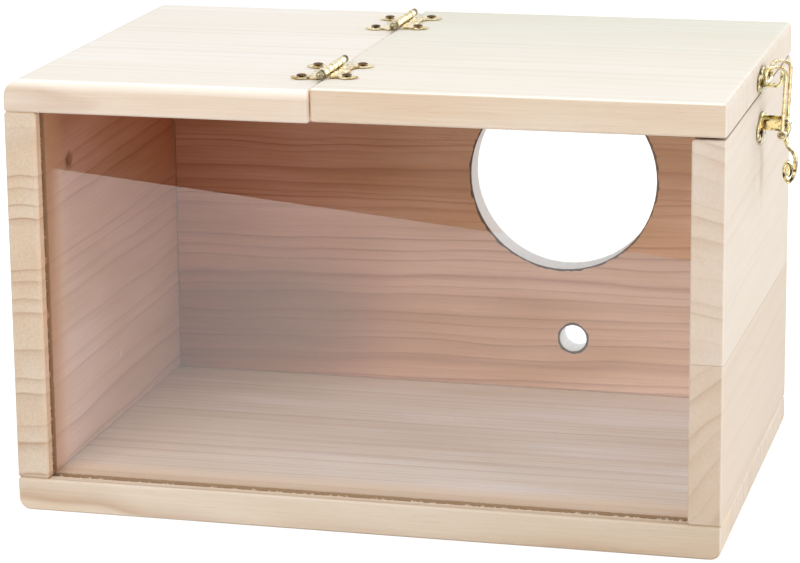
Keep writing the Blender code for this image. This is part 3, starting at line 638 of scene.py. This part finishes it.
def torn_and_shaded_groove(add, place):
    """1 along the rear edge of the window's groove, where the saw tore the fibres beside it and
    its mouth takes painted shade: close to the edge's line, by a width that noise makes ragged."""
    away = add("SeparateXYZ", Vector=place).outputs["Y"]
    noise = add("TexNoise", Vector=place, Scale=460.0, Detail=4.0, Roughness=0.75)
    ragged = add("MapRange", Value=noise, i1=0.34, i2=0.62, i3=TEAR, i4=4 * TEAR)
    gap = add("Math SUBTRACT", i0=away, i1=GROOVE_REAR)
    gap = add("Math ABSOLUTE", i0=gap)
    torn_and_shaded = add("Math LESS_THAN", i0=gap, i1=ragged)
    jagged = add("MapRange", Value=noise, i1=0.34, i2=0.62, i3=-2 * TEAR, i4=2 * TEAR)
    jagged = add("VectorMath ADD", i0=place, i1=jagged)
    reach = 3 * TEAR
    shown = within(add, jagged, (LEFT + BOARD - reach, FRONT + TEAR, BOARD - reach),
                   (RIGHT - BOARD + reach, GROOVE_REAR + reach, LID_UNDER + GAP_DEPTH))
    return add("Math MULTIPLY", i0=torn_and_shaded, i1=shown)


def hole_light_and_rim(add, place, x, z, radius):
    """1 on a hole's wall, which is white as painted light, and 1 on a dark ragged ring round it on
    the inner face.
    """
    away = add("Mapping", Vector=place, Location=(-x, 0, -z), Scale=(1, 0, 1))
    away = add("VectorMath LENGTH", i0=away)
    wall = add("Math LESS_THAN", i0=away, i1=radius + HOLE_SKIN)
    noise = add("TexNoise", Vector=place, Scale=300.0, Detail=2.0)
    reach = add("MapRange", Value=noise, i1=0.3, i2=0.7, i3=radius + RIM_NEAR, i4=radius + RIM_FAR)
    rim = add("Math LESS_THAN", i0=away, i1=reach)
    depth = add("SeparateXYZ", Vector=place).outputs["Y"]
    depth = add("Math LESS_THAN", i0=depth, i1=BACK - BOARD + SKIN / 2)
    return wall, add("Math MULTIPLY", i0=rim, i1=depth)


def mark_or_shade(add, place, centre, radii, strength, ragged):
    """A knot, a stain or a patch of painted shade: strongest at its centre, gone at its radii,
    with a more or less ragged rim."""
    shift = [-middle / radius for middle, radius in zip(centre, radii)]
    spot = add("Mapping", Vector=place, Location=shift, Scale=[1 / radius for radius in radii])
    away = add("VectorMath LENGTH", i0=spot)
    noise = add("TexNoise", Vector=place, Scale=500.0, Detail=2.0)
    away = add("Math MULTIPLY_ADD", i0=noise, i1=ragged, i2=away)
    return add("MapRange", {"interpolation_type": "SMOOTHSTEP"}, Value=away, i1=1.0 + ragged / 2,
               i2=0.2 + ragged / 2, i3=0.0, i4=strength)


def face(direction, reach, tone):
    """The tone of one side of a board, which starts just under that side."""
    return direction, reach - SKIN, reach - SKIN / 2, tone


def seam_painted_light(way):
    """Painted light on the end at the seam in the top that faces one way along X: a pale tone
    against the narrow seam's shade.
    """
    start, full = (way * HINGE_X - SEAM_GAP * share for share in (0.60, 0.55))
    return (way, 0, 0), start, full, SEAM_PAINTED_LIGHT


def dress_boards(nodes):
    """Give each board its wood."""
    along_y = math.radians(-90)
    inner_left, inner_right = LEFT + BOARD, RIGHT - BOARD
    right_end = face(RIGHTWARDS, RIGHT, END_FACE)
    # Painted light and shade inside the side walls: paler low down, darker and redder higher up
    # under the top.
    wall_inside_shading = ((0, 0.35, 0.94), 0.05, 0.14, "#FBDCD0", "#D8885F")
    boards = {
        "fixed_top": dict(
            pith=(-260, 150), ring=4.2, tilt=(0.004, 0.006), sway=0.3,
            front=("#E2D6CA", "#DDD0C2"), contrast=(0.6, 0.22, 1.0), seed=3.1,
            faces=[(UPWARDS, BOX_HEIGHT - 0.004, BOX_HEIGHT - 0.0004, TOP_PAINTED_LIGHT), seam_painted_light(1)]),
        "lid": dict(
            pith=(-300, 150), ring=4.6, tilt=(-0.004, 0.006), sway=0.6,
            front=("#DACBBB", "#D8C8B5"), contrast=(0.7, 0.18, 1.0), seed=8.7,
            # The lid's near-white top is painted light too.
            faces=[face(UPWARDS, LID_TOP, "#FBF6EC"), (REARWARDS, -0.020, 0.075, "#EFEFE2"),
                   face(REARWARDS, BACK, "#E9DDCE"), right_end, seam_painted_light(-1)]),
        "floor_board": dict(
            pith=(-260, 30), ring=4.0, tilt=(0.003, -0.005), sway=0.4,
            front=("#E0D4C5", "#CEC0AE"), contrast=(0.6, 0.4, 0.6), seed=5.3, faces=[right_end],
            # Painted light: the floor paler behind the window.
            inside=(RIGHTWARDS, inner_left, inner_right, "#FBEDE4", "#FFFCFC"), groove="#7A4E2C",
            marks=[((0, GROOVE_REAR + 0.006, BOARD), (0.400, 0.014, 0.003), "#FFDDB0", 0.5,
                    0.05)]),
        "back_wall": dict(
            pith=(100, -260), ring=4.6, tilt=(0.02, 0.02), sway=0.8,
            front=("#EADDCB", "#EADDCB"), contrast=(0.6, 0.6, 0.95), seed=1.9,
            # Painted shade: the back wall darker towards its left inside.
            inside=(RIGHTWARDS, inner_left, inner_right, "#D89A7E", "#FFDCC4"),
            holes=(ENTRANCE, PERCH_HOLE),
            # A broad soft patch of painted shade low on the left of the back wall's inner face.
            marks=[((-0.068, BACK - BOARD, 0.036), (0.058, 0.006, 0.034), "#977A6F", 0.62,
                    0.04)]),
        "left_wall": dict(
            turn=along_y, pith=(96, -170), ring=8.6, tilt=(0.02, 0.02), sway=0.35,
            front=("#D6C7B5", "#D6C7B5"), contrast=(0.9, 0.9, 0.65), seed=6.6,
            inside=wall_inside_shading, groove="#48200C",
            marks=[((inner_left, GROOVE_REAR + 0.005, 0.080), (0.003, 0.018, 0.300), "#F2BE92",
                    0.6, 0.05),
                   ((inner_left, -0.0490, 0.1202), (0.003, 0.0050, 0.0042), "#7E4A2C", 0.85, 0.7),
                   ((inner_left, -0.0478, 0.1207), (0.003, 0.0024, 0.0022), "#C08A66", 0.8, 0.6),
                   ((inner_left, -0.0005, 0.036), (0.002, 0.0012, 0.0020), "#FFF6EA", 0.8, 0.5)]),
        "right_wall": dict(
            turn=along_y, pith=(-60, -160), ring=6.8, tilt=(0.02, 0.03), sway=0.5,
            front=("#D1C3B4", "#D1C3B4"), contrast=(0.45, 0.12, 0.65), seed=2.4,
            faces=[right_end], inside=wall_inside_shading, groove="#48200C",
            strip=((0, 0.0219, 1), 0.0658, (0, 160, -99)),
            marks=[((RIGHT, 0.0035, 0.108), (0.002, 0.0004, 0.0125), "#B7A08A", 0.45, 0.5)]),
    }
    for name, recipe in boards.items():
        piece = nodes[name]
        wear(piece, paulownia(name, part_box(name), **recipe))
        piece.modifiers.new("Weld", "WELD").merge_threshold = MERGE
        even_normals(piece)


# Wood glue that has dried in the seams: thin, hard and pale amber, with a dull shine.
DRIED_GLUE = dict(name="wood_glue_dried", scale=260.0, limits=(0, 1), bright="#CDB08C",
                  dull="#A98459", metallic=0.0, roughness=(0.45, 0.45), relief=(0.3, 0.0001))

# Steel brads: bright drawn wire with a dull cut head.
DRAWN_STEEL = dict(name="steel_drawn_wire", scale=1500.0, limits=(0, 1), bright="#B9BABC",
                   dull="#7E7F82", metallic=1.0, roughness=(0.28, 0.5), relief=(0.0, 0.00005))

# Beech dowels: turned, pinkish tan with short darker flecks.
TURNED_BEECH = dict(name="beech_turned", scale=1800.0, limits=(0.45, 0.7), bright="#D8B48C",
                    dull="#A87C54", metallic=0.0, roughness=(0.6, 0.6), relief=(0.2, 0.00005))


def clouded(name, scale, limits, bright, dull, metallic, roughness, relief):
    """A plain material whose tone, roughness and relief follow the clouds of one noise."""
    material, add, place = new_material(name)
    cloud = add("TexNoise", Vector=place, Scale=scale, Detail=3.0)
    cloud = add("MapRange", Value=cloud, i1=limits[0], i2=limits[1])
    colour = blend_in(add, cloud, bright, dull)
    rough = add("MapRange", Value=cloud, i3=roughness[0], i4=roughness[1])
    bump = add("Bump", Height=cloud, Strength=relief[0], Distance=relief[1])
    shader = add("BsdfPrincipled", Base_Color=colour, Metallic=metallic, Roughness=rough,
                 Normal=bump)
    add("OutputMaterial", Surface=shader)
    return material


def add_glue(glue):
    """A film of glue in each seam between two fixed boards, a little short of their outer
    faces."""
    boards = ("floor_board", "left_wall", "right_wall", "back_wall", "fixed_top")
    boxes = {name: [np.array(corner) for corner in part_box(name)] for name in boards}
    films = []
    for i, one in enumerate(boards):
        for other in boards[i + 1:]:
            low = np.maximum(boxes[one][0], boxes[other][0])
            high = np.minimum(boxes[one][1], boxes[other][1])
            gap = low - high
            if (gap > 0).sum() == 1 and gap.max() < 2 * FIT and (gap < -BOARD / 3).sum() == 2:
                films.append(slab(np.where(gap > 0, high, low + GLUE_SHORT),
                                  np.where(gap > 0, low, high - GLUE_SHORT)))
    piece = put_in_scene("seam_glue", *joined(*films))
    wear(piece, glue)
    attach(piece, "box")


def slab(low, high):
    """A plain thin slab between two corners, from two rings of four points."""
    ring = np.array([(low[0], low[1]), (high[0], low[1]), (high[0], high[1]), (low[0], high[1])])
    return shell(np.array([np.column_stack([ring, np.full(4, z)]) for z in (low[2], high[2])]))


# Cast acrylic sheet: clear, polished and faintly cool. What is behind it shows almost unchanged,
# under a soft reflection of what is in front.

def clear_acrylic():
    """A clear sheet whose outer face mirrors for both of its faces, which are 3 mm apart."""
    material, add, place = new_material("acrylic_cast_clear")
    clear = add("BsdfTransparent", Color="#FBFCFC")
    dust = add("TexNoise", Vector=place, Scale=90.0, Detail=5.0, Roughness=0.7)
    rough = add("MapRange", Value=dust, i3=0.0, i4=0.012)
    gloss = add("BsdfGlossy", Color="#FFFFFF", Roughness=rough)
    mirror = add("Fresnel", IOR=1.49)
    outer = add("NewGeometry").outputs["Backfacing"]
    outer = add("Math MULTIPLY_ADD", i0=outer, i1=-1.9, i2=1.9)
    mirror = add("Math MULTIPLY", {"use_clamp": True}, i0=mirror, i1=outer)
    sheet = add("MixShader", i0=mirror, i1=clear, i2=gloss)
    add("OutputMaterial", Surface=sheet)
    return material


# Brass-plated pressed steel: bright yellow gold with a smooth polish, a little duller and greener
# where fingers and damp have been.

def plated_brass(name="brass_plated_bright", bright="#FBF0B8", dull="#3C3210", roughness=0.16):
    """Bright plating with faint clouds of tarnish and fine rubbing marks."""
    material, add, place = new_material(name)
    cloud = add("TexNoise", Vector=place, Scale=420.0, Detail=4.0, Roughness=0.6)
    cloud = add("MapRange", Value=cloud, i1=0.46, i2=0.62)
    colour = blend_in(add, cloud, bright, dull)
    rub = add("Mapping", Vector=place, Scale=(900, 5200, 5200))
    rub = add("TexNoise", Vector=rub, Scale=1.0, Detail=3.0)
    rough = add("MapRange", Value=rub, i1=0.3, i2=0.7, i3=roughness - 0.05, i4=roughness + 0.12)
    bump = add("Bump", Height=rub, Strength=0.12, Distance=0.00003)
    shader = add("BsdfPrincipled", Base_Color=colour, Metallic=1.0, Roughness=rough, Normal=bump)
    add("OutputMaterial", Surface=shader)
    return material


# Pieces

def even_normals(piece):
    """Flat faces shade flat, and only the rounds beside them shade as rounds."""
    piece.modifiers.new("Normals", "WEIGHTED_NORMAL").keep_sharp = True


def add_finer(node, form, body, material, smooth=32):
    """A finer piece in a CAD node's place, moving with the same body."""
    piece = put_in_scene(node + "_dressed", *form, smooth)
    wear(piece, material)
    even_normals(piece)
    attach(piece, body)
    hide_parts(node)


def add_window(acrylic):
    """The clear sheet, as large as the CAD sheet: a thin plate with its edges just broken."""
    low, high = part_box("front_window")
    left, right = low.x + WINDOW_CORNER, high.x - WINDOW_CORNER
    under, over = low.z + WINDOW_CORNER, high.z - WINDOW_CORNER
    corners = []
    for centre, start in (((left, under), 180), ((right, under), 270), ((right, over), 0),
                          ((left, over), 90)):
        corners.extend(arc(centre, WINDOW_CORNER, start, start + 90, 4))
    add_finer("front_window", upright(corners, low.y, high.y, WINDOW_EDGE), "box", acrylic,
              smooth=10)


def lobe(centre, radius, reach, start, end, steps):
    """An arc round a nail whose outer side is drawn out to a point at the given reach."""
    angle = np.linspace(start, end, steps + 1)
    pull = np.maximum(0, 1 - np.abs(angle) / 50) ** 2 * (reach - centre[0] - radius)
    return about(centre, radius + pull, angle)


def leaf_outline():
    """Half a butterfly: two pointed lobes with a cusp between them, straight by the barrel."""
    round_lobe = lobe((NAIL_REACH, NAIL_SPREAD), LOBE_RADIUS, LEAF_REACH, -105, 155, 52)
    cusp = np.array([[LEAF_CUSP, 0]])
    inner = bow(cusp[0], (LEAF_WAIST, NAIL_SPREAD / 3), round_lobe[0], 14)
    half = np.concatenate([cusp, inner, round_lobe, [[LEAF_START, BARREL_LENGTH / 2]]])
    return np.concatenate([half, half[:0:-1] * (1, -1)])


def knuckle(low, high, drop):
    """A strip rolled round the pin: a straight run from the leaf, then most of a turn."""
    mid = BARREL_RADIUS - LEAF_THICKNESS / 2
    roll = arc((0, 0), mid, -90, -385, 34)
    run = np.linspace((NECK_REACH, -drop), (ROLL_START, -mid), 6)
    path = np.concatenate([run, roll])
    path = np.column_stack([path[:, 0], np.full(len(path), (low + high) / 2), path[:, 1]])
    return carried(path, high - low, LEAF_THICKNESS, sides=24)


def add_hinges(brass, dark_brass, nails):
    """Two butterfly hinges: pressed leaves with rolled knuckles, and a pin with ball ends."""
    length = (BARREL_LENGTH - (KNUCKLES - 1) * FIT) / KNUCKLES
    spans = [(i - (KNUCKLES - 1) / 2) * (length + FIT) for i in range(KNUCKLES)]
    sides = ((-1, "fixed", BOX_HEIGHT, "box"), (1, "lid", LID_TOP, "lid"))
    for label, y in HINGE_YS.items():
        for side, kind, surface, body in sides:
            low = surface + FIT
            leaf = stamped(leaf_outline(), low - HINGE_Z, low + LEAF_THICKNESS - HINGE_Z,
                           LEAF_EDGE)
            drop = HINGE_Z - low - LEAF_THICKNESS / 2
            rolls = [knuckle(at - length / 2, at + length / 2, drop)
                     for i, at in enumerate(spans) if i % 2 == (side > 0)]
            turn = Matrix.Rotation(0 if side > 0 else math.pi, 4, "Z")
            place = Matrix.Translation((HINGE_X, y, HINGE_Z)) @ turn
            add_finer(f"hinge_{label}_{kind}_leaf", placed(joined(leaf, *rolls), place), body,
                      brass)
        add_finer(f"hinge_{label}_pin", facing(hinge_pin(), (HINGE_X, y, HINGE_Z), REARWARDS),
                  "box", dark_brass)
    spots = [(y, way) for y in HINGE_YS.values() for way in (-1, 1)]
    for side, kind, surface, body in sides:
        for number, (y, way) in enumerate(spots, 1):
            point = (HINGE_X + side * NAIL_REACH, y + way * NAIL_SPREAD,
                     surface + LEAF_THICKNESS + 2 * FIT)
            add_finer(f"hinge_nail_{kind}_{number}", facing(nail(), point, UPWARDS), body, nails)


def hinge_pin():
    """The pin from one ball finial to the other: a collar, a neck and a ball, turned."""
    start = BARREL_LENGTH / 2 + FIT
    ball = start + FINIAL_COLLAR + FINIAL_NECK + FINIAL_RADIUS * math.cos(math.radians(35))
    collar = start + FINIAL_COLLAR
    end = dome(FINIAL_RADIUS, ball, FINIAL_RADIUS, 145, 18)
    end += [(FINIAL_NECK, collar + BROKEN_EDGE), (FINIAL_RADIUS - BROKEN_EDGE, collar),
            (FINIAL_RADIUS, collar - BROKEN_EDGE), (FINIAL_RADIUS, start + BROKEN_EDGE),
            (FINIAL_RADIUS - BROKEN_EDGE, start), (PIN_RADIUS, start)]
    return lathe(mirrored(end))


def nail():
    """A pressed dome on a short shank, with a flat rolled rim."""
    head = dome(NAIL_HEAD_RADIUS, BROKEN_EDGE, NAIL_HEAD_HEIGHT - BROKEN_EDGE, 90, 10)
    shank = [(NAIL_HEAD_RADIUS - BROKEN_EDGE / 2, 0.0), (PIN_RADIUS, 0.0),
             (PIN_RADIUS, -NAIL_SHANK), (0.0, -NAIL_LENGTH)]
    return lathe(head + shank, 28)


def plate_outline(height):
    """A stamped plate: a pointed lobe round the nail at each end and a cusp above and below."""
    round_lobe = lobe((PLATE_NAIL_REACH, 0), PLATE_LOBE_RADIUS, PLATE_REACH, 0, 115, 28)
    cusp = np.array([0, height / 2])
    pull = (round_lobe[-1][0] - WAIST_NOTCH, height / 2 - WAIST_NOTCH / 4)
    quarter = np.concatenate([round_lobe, bow(round_lobe[-1], pull, cusp, 12), [cusp]])
    half = np.concatenate([quarter, quarter[-2::-1] * (-1, 1)])
    return np.concatenate([half, half[-2:0:-1] * (1, -1)])


def latch_plate(low, high):
    """A plate on the right end between two heights."""
    flat = stamped(plate_outline(high - low), PLATE_FACE - PLATE_THICKNESS, PLATE_FACE,
                   PLATE_EDGE)
    return placed(flat, Matrix.Translation((0, 0, (low + high) / 2)) @ ON_END)


def upright(outline, low, high, edge):
    """A flat form that stands across the box, between two places along Y."""
    return placed(stamped(outline, low, high, edge), ACROSS)


def link_points():
    """The loop's pin at rest, and how far its bar swings out and up."""
    start, end = math.radians(LINK_ANGLE), math.radians(LINK_ANGLE + LEVER_TURN)
    pivot = (PIVOT[0] + LINK * math.cos(start), PIVOT[1] + LINK * math.sin(start))
    return pivot, LINK * (1 - math.cos(start)), LINK * (math.sin(end) - math.sin(start))


def add_latch(brass, wire, dark_brass, nails):
    """The toggle latch: strike plate and hook, base plate and ears, lever, loop and pins."""
    loop_pin, swing, lift = link_points()
    bar = (PLATE_FACE + BAR_PLAY + WIRE_RADIUS, HOOK_FLOOR + FIT + WIRE_RADIUS)
    leg = bar[0] + swing + WIRE_RADIUS + FIT + HOOK_THICKNESS / 2
    root = PLATE_FACE - PLATE_THICKNESS / 2
    floor = HOOK_FLOOR - HOOK_THICKNESS / 2
    hook_path = rounded_path([(root, 0, floor), (leg, 0, floor),
                              (leg, 0, HOOK_FLOOR + lift - FIT)], [HOOK_BEND])
    strike = joined(latch_plate(STRIKE_LOW, STRIKE_HIGH),
                    carried(hook_path, HOOK_WIDTH, HOOK_THICKNESS))
    add_finer("latch_strike_plate", strike, "lid", brass)

    end = arc(PIVOT, EAR_RADIUS, -90, 90, 20)
    ear = np.concatenate([[[root, end[0][1]]], end, [[root, end[-1][1]]]])
    ears = [upright(ear, low, low + EAR_THICKNESS, LEAF_EDGE)
            for low in (EAR_INNER, -EAR_INNER - EAR_THICKNESS)]
    base = joined(latch_plate(BASE_LOW, BASE_HIGH), *ears)
    add_finer("latch_base_plate", base, "box", brass)

    ear_outer = EAR_INNER + EAR_THICKNESS + FIT
    eye_inner = ear_outer + RIVET_HEAD + 2 * FIT
    for node, (x, z), length, body in (
            ("lever_pin", PIVOT, ear_outer, "box"),
            ("loop_pin", loop_pin, eye_inner + EYE_WIDTH + FIT, "latch_lever")):
        add_finer(node, facing(rivet(length), (x, 0, z), REARWARDS), body, dark_brass)
    add_finer("latch_lever", lever(loop_pin), "latch_lever", brass)
    add_finer("latch_loop", loop(loop_pin, bar, eye_inner), "latch_loop", wire)

    for stem, middle, body in (("strike_nail", (STRIKE_LOW + STRIKE_HIGH) / 2, "lid"),
                               ("base_nail", (BASE_LOW + BASE_HIGH) / 2, "box")):
        for number, way in enumerate((-1, 1), 1):
            point = (PLATE_FACE + FIT, way * PLATE_NAIL_REACH, middle)
            add_finer(f"{stem}_{number}", facing(nail(), point, RIGHTWARDS), body, nails)


def rivet(half_length):
    """A pin with a low round head beyond each half length."""
    head = dome(LATCH_PIN_RADIUS + RIVET_FLARE, half_length, RIVET_HEAD, 90, 7)
    return lathe(mirrored(head + [(LATCH_PIN_RADIUS, half_length)]), 24)


def lever(loop_pin):
    """The lever: a head round both pins, and a tail strip that widens towards its curl."""
    outline = np.concatenate([
        arc(PIVOT, EAR_RADIUS, LINK_ANGLE + 90, LINK_ANGLE + 270, 20),
        arc(loop_pin, EAR_RADIUS, LINK_ANGLE - 90, LINK_ANGLE + 90, 20)])
    head = upright(outline, -LEVER_WIDTH / 2, LEVER_WIDTH / 2, LEVER_EDGE)
    shares = np.array(TAIL_SHARES)
    points = np.column_stack([PIVOT[0] + shares[:, 0] * TAIL_REACH,
                              PIVOT[1] - shares[:, 1] * TAIL_DROP])
    path = smooth_path(points, 8)
    grown = np.minimum(1, np.linspace(0, 1, len(path)) / TAIL_WIDE_SHARE)
    widths = TAIL_NARROW + (TAIL_WIDE - TAIL_NARROW) * grown * grown * (3 - 2 * grown)
    path = np.column_stack([path[:, 0], np.zeros(len(path)), path[:, 1]])
    tail = carried(path, widths, TAIL_THICKNESS, crown=TAIL_CROWN, sides=28)
    return joined(head, tail)


def loop(loop_pin, bar, eye_inner):
    """The wire loop: up each arm, over its crown and down to the bar in the hook, with an eye at
    each end."""
    reach = eye_inner + EYE_WIDTH / 2
    eye_radius = LATCH_PIN_RADIUS + FIT + EYE_WALL
    pivot = np.array(loop_pin)
    crown = np.array([bar[0], bar[1] + CROWN_RISE])
    knee = np.array([loop_pin[0] + KNEE_OUT, crown[1]])
    away = (knee - pivot) / np.linalg.norm(knee - pivot)
    start = pivot + away * (eye_radius - EYE_WALL / 2)
    side = [start, knee, crown, bar]
    corners = [(x, -reach, z) for x, z in side] + [(x, reach, z) for x, z in side[::-1]]
    bends = [CROWN_BEND, CROWN_BEND, LOOP_BEND]
    wire = wire_along(rounded_path(corners, bends + bends[::-1]), WIRE_RADIUS)
    half = EYE_WIDTH / 2
    ring = mirrored([(LATCH_PIN_RADIUS + EYE_PLAY, -half), (eye_radius - EYE_EDGE, -half),
                     (eye_radius, EYE_EDGE - half)])
    eyes = [facing(lathe(ring, 28), (loop_pin[0], way * reach, loop_pin[1]), REARWARDS)
            for way in (-1, 1)]
    return joined(wire, *eyes)


# Stage, lamps and camera

def flat(name, corners):
    """A flat piece of the stage."""
    mesh = bpy.data.meshes.new(name)
    mesh.from_pydata(corners, [], [list(range(len(corners)))])
    piece = put(name, mesh)
    return piece


def rectangle(low, high):
    """The corners of a level or an upright rectangle, from two opposite corners."""
    (x, y, z), (far_x, far_y, far_z) = low, high
    if z == far_z:
        return [low, (far_x, y, z), high, (x, far_y, z)]
    return [low, (far_x, far_y, z), high, (x, y, far_z)]


def card(name, corners, shade, strength, fades=()):
    """A flat card on the stage that only reflections see. Each fade is a direction, where along
    it the card changes, and its shares there."""
    piece = flat(name, corners)
    material, add, place = new_material("paper_" + name)
    level = strength
    for direction, start, end, first, last in fades:
        share = along(add, place, direction, start, end)
        share = add("MapRange", Value=share, i3=first, i4=last)
        level = add("Math MULTIPLY", i0=share, i1=level)
    glow = add("Emission", Color=shade, Strength=level)
    add("OutputMaterial", Surface=glow)
    wear(piece, material)
    for rays in ("camera", "diffuse", "transmission", "shadow", "volume_scatter"):
        setattr(piece, "visible_" + rays, False)


def add_stage():
    """A pale floor, and in front of the box the white paper and the dark beyond it that the
    window reflects. Dark and grey cards stand to the right and hang above for the brass."""
    floor = flat("floor", rectangle((-FLOOR_REACH, -FLOOR_REACH, -FLOOR_DROP),
                                    (FLOOR_REACH, FLOOR_REACH, -FLOOR_DROP)))
    material, add, _ = new_material("paper_matt_white")
    colour = add("BsdfDiffuse", Color="#F4F4F4")
    glow = add("Emission", Color=(1, 1, 1, 1), Strength=0.5)
    rays = add("LightPath")
    lifted = add("AddShader", i0=colour, i1=glow)
    seen = add("MixShader", i0=rays.outputs["Is Camera Ray"], i1=colour, i2=lifted)
    add("OutputMaterial", Surface=seen)
    wear(floor, material)
    dark_corner = (-DARK_SIDE, DARK_FAR, 0)
    card("dark_floor", rectangle(dark_corner, (DARK_SIDE, FRONT - 0.002, 0)), "#000000", 0.0)
    card("dark_stand", rectangle(dark_corner, (DARK_SIDE, DARK_FAR, 1.1)), "#2A2620", 1.0)
    card("warm_floor", rectangle((-0.300, -1.35, 0.0003), (0.600, -0.20, 0.0003)), "#FFD9BE", 2.2,
         [(RIGHTWARDS, -0.16, 0.05, 0, 1)])
    card("white_floor", [(-0.317, -0.609, 0.0005), (0.600, -0.278, 0.0005),
                         (0.600, -0.095, 0.0005), (-0.125, -0.095, 0.0005)], "#FFFFFF", 1.85,
         [((0.936, -0.352, 0), -0.0807, -0.0742, 0, 1), (REARWARDS, -0.35, -0.14, 1, 1.30),
          (REARWARDS, -0.122, -0.106, 1, 0)])
    for number, start in enumerate((-0.95, -0.35, 0.25, 0.85)):
        end = start + FLAG_WIDTH
        card(f"flag_right_{number}", rectangle((1.1, start, 0.02), (1.1, end, 1.3)), "#000000",
             0.0)
        card(f"flag_above_{number}", rectangle((start, -1.0, 1.4), (end, 1.2, 1.4)), "#8A8A8A",
             1.0)


def add_lamp(name, place, aim, size, power):
    """A soft square lamp that looks at a point."""
    lamp = bpy.data.lights.new(name, "AREA")
    lamp.shape = "SQUARE"
    lamp.size = size
    lamp.energy = power
    holder = put(name, lamp)
    holder.location = place
    holder.rotation_euler = (Vector(aim) - Vector(place)).to_track_quat("-Z", "Y").to_euler()


def add_light():
    """Even white surroundings, and a large lamp above and in front."""
    world = bpy.data.worlds.new("studio")
    bpy.context.scene.world = world
    add = bare_nodes(world)
    rays = add("LightPath")
    seen = add("Math MAXIMUM", i0=rays.outputs["Is Camera Ray"], i1=rays.outputs["Is Glossy Ray"])
    seen = add("Math MAXIMUM", i0=seen, i1=rays.outputs["Is Transmission Ray"])
    level = add("MapRange", Value=seen, i3=0.50, i4=1.0)
    white = add("Background", Color=(1, 1, 1, 1), Strength=level)
    add("OutputWorld", Surface=white)
    middle = (0, 0, 0.10)
    add_lamp("overhead", (0.45, -0.30, 1.45), middle, 1.1, 4.7)
    add_lamp("front_key", (-0.55, -1.50, 1.00), middle, 0.8, 15.0)
    add_lamp("right_fill", (1.50, -0.50, 0.60), middle, 0.9, 5.5)
    add_lamp("back_rim", (0.80, 1.30, 0.45), middle, 0.9, 6.0)


def add_camera():
    """The photograph's camera: its place, the three turns of its view, its lens and its shift."""
    yaw, down, roll = CAMERA_YAW, CAMERA_DOWN, CAMERA_ROLL
    ahead = Vector((-math.sin(yaw) * math.cos(down), math.cos(yaw) * math.cos(down),
                    -math.sin(down)))
    level = Vector((math.cos(yaw), math.sin(yaw), 0))
    above = level.cross(ahead)
    right = level * math.cos(roll) + above * math.sin(roll)
    up = above * math.cos(roll) - level * math.sin(roll)
    turn = Matrix((right, up, -ahead)).transposed().to_4x4()
    lens = bpy.data.cameras.new("camera")
    lens.lens = CAMERA_LENS
    lens.sensor_width = 36.0
    lens.sensor_fit = "HORIZONTAL"
    lens.shift_x, lens.shift_y = CAMERA_SHIFT
    lens.clip_start = 0.01
    lens.clip_end = 50.0
    camera = put("camera", lens)
    camera.matrix_world = Matrix.Translation(CAMERA_PLACE) @ turn
    bpy.context.scene.camera = camera


def dress_fixings(nodes):
    """The brads and dowels keep their CAD shapes."""
    steel, beech = clouded(**DRAWN_STEEL), clouded(**TURNED_BEECH)
    for name, piece in nodes.items():
        material = steel if name.startswith("floor_brad") else beech if "dowel" in name else None
        if material:
            wear(piece, material)


def main():
    """Dress the part and set the stage."""
    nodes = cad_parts
    dress_boards(nodes)
    dress_fixings(nodes)
    brass = plated_brass()
    pins = plated_brass("brass_plated_pins", "#B0A484", "#4E4632", 0.24)
    # The nail heads in a dark brown tone.
    nails = plated_brass("brass_dark_nails", "#7A5A28", "#3C2A12", 0.34)
    # Painted light: the hinges and the loop wire in paler copies of the same plating, for the
    # stronger light they catch.
    pale = plated_brass("brass_plated_pale_painted_light", "#FBEFCB", "#C4A562", 0.24)
    wire = plated_brass("brass_plated_wire_painted_light", "#FFF8DC", "#CDBB7C", 0.18)
    add_glue(clouded(**DRIED_GLUE))
    add_window(clear_acrylic())
    add_hinges(pale, pins, nails)
    add_latch(brass, wire, pins, nails)
    add_stage()
    add_light()
    add_camera()
    bpy.context.scene.view_settings.view_transform = "Standard"


main()
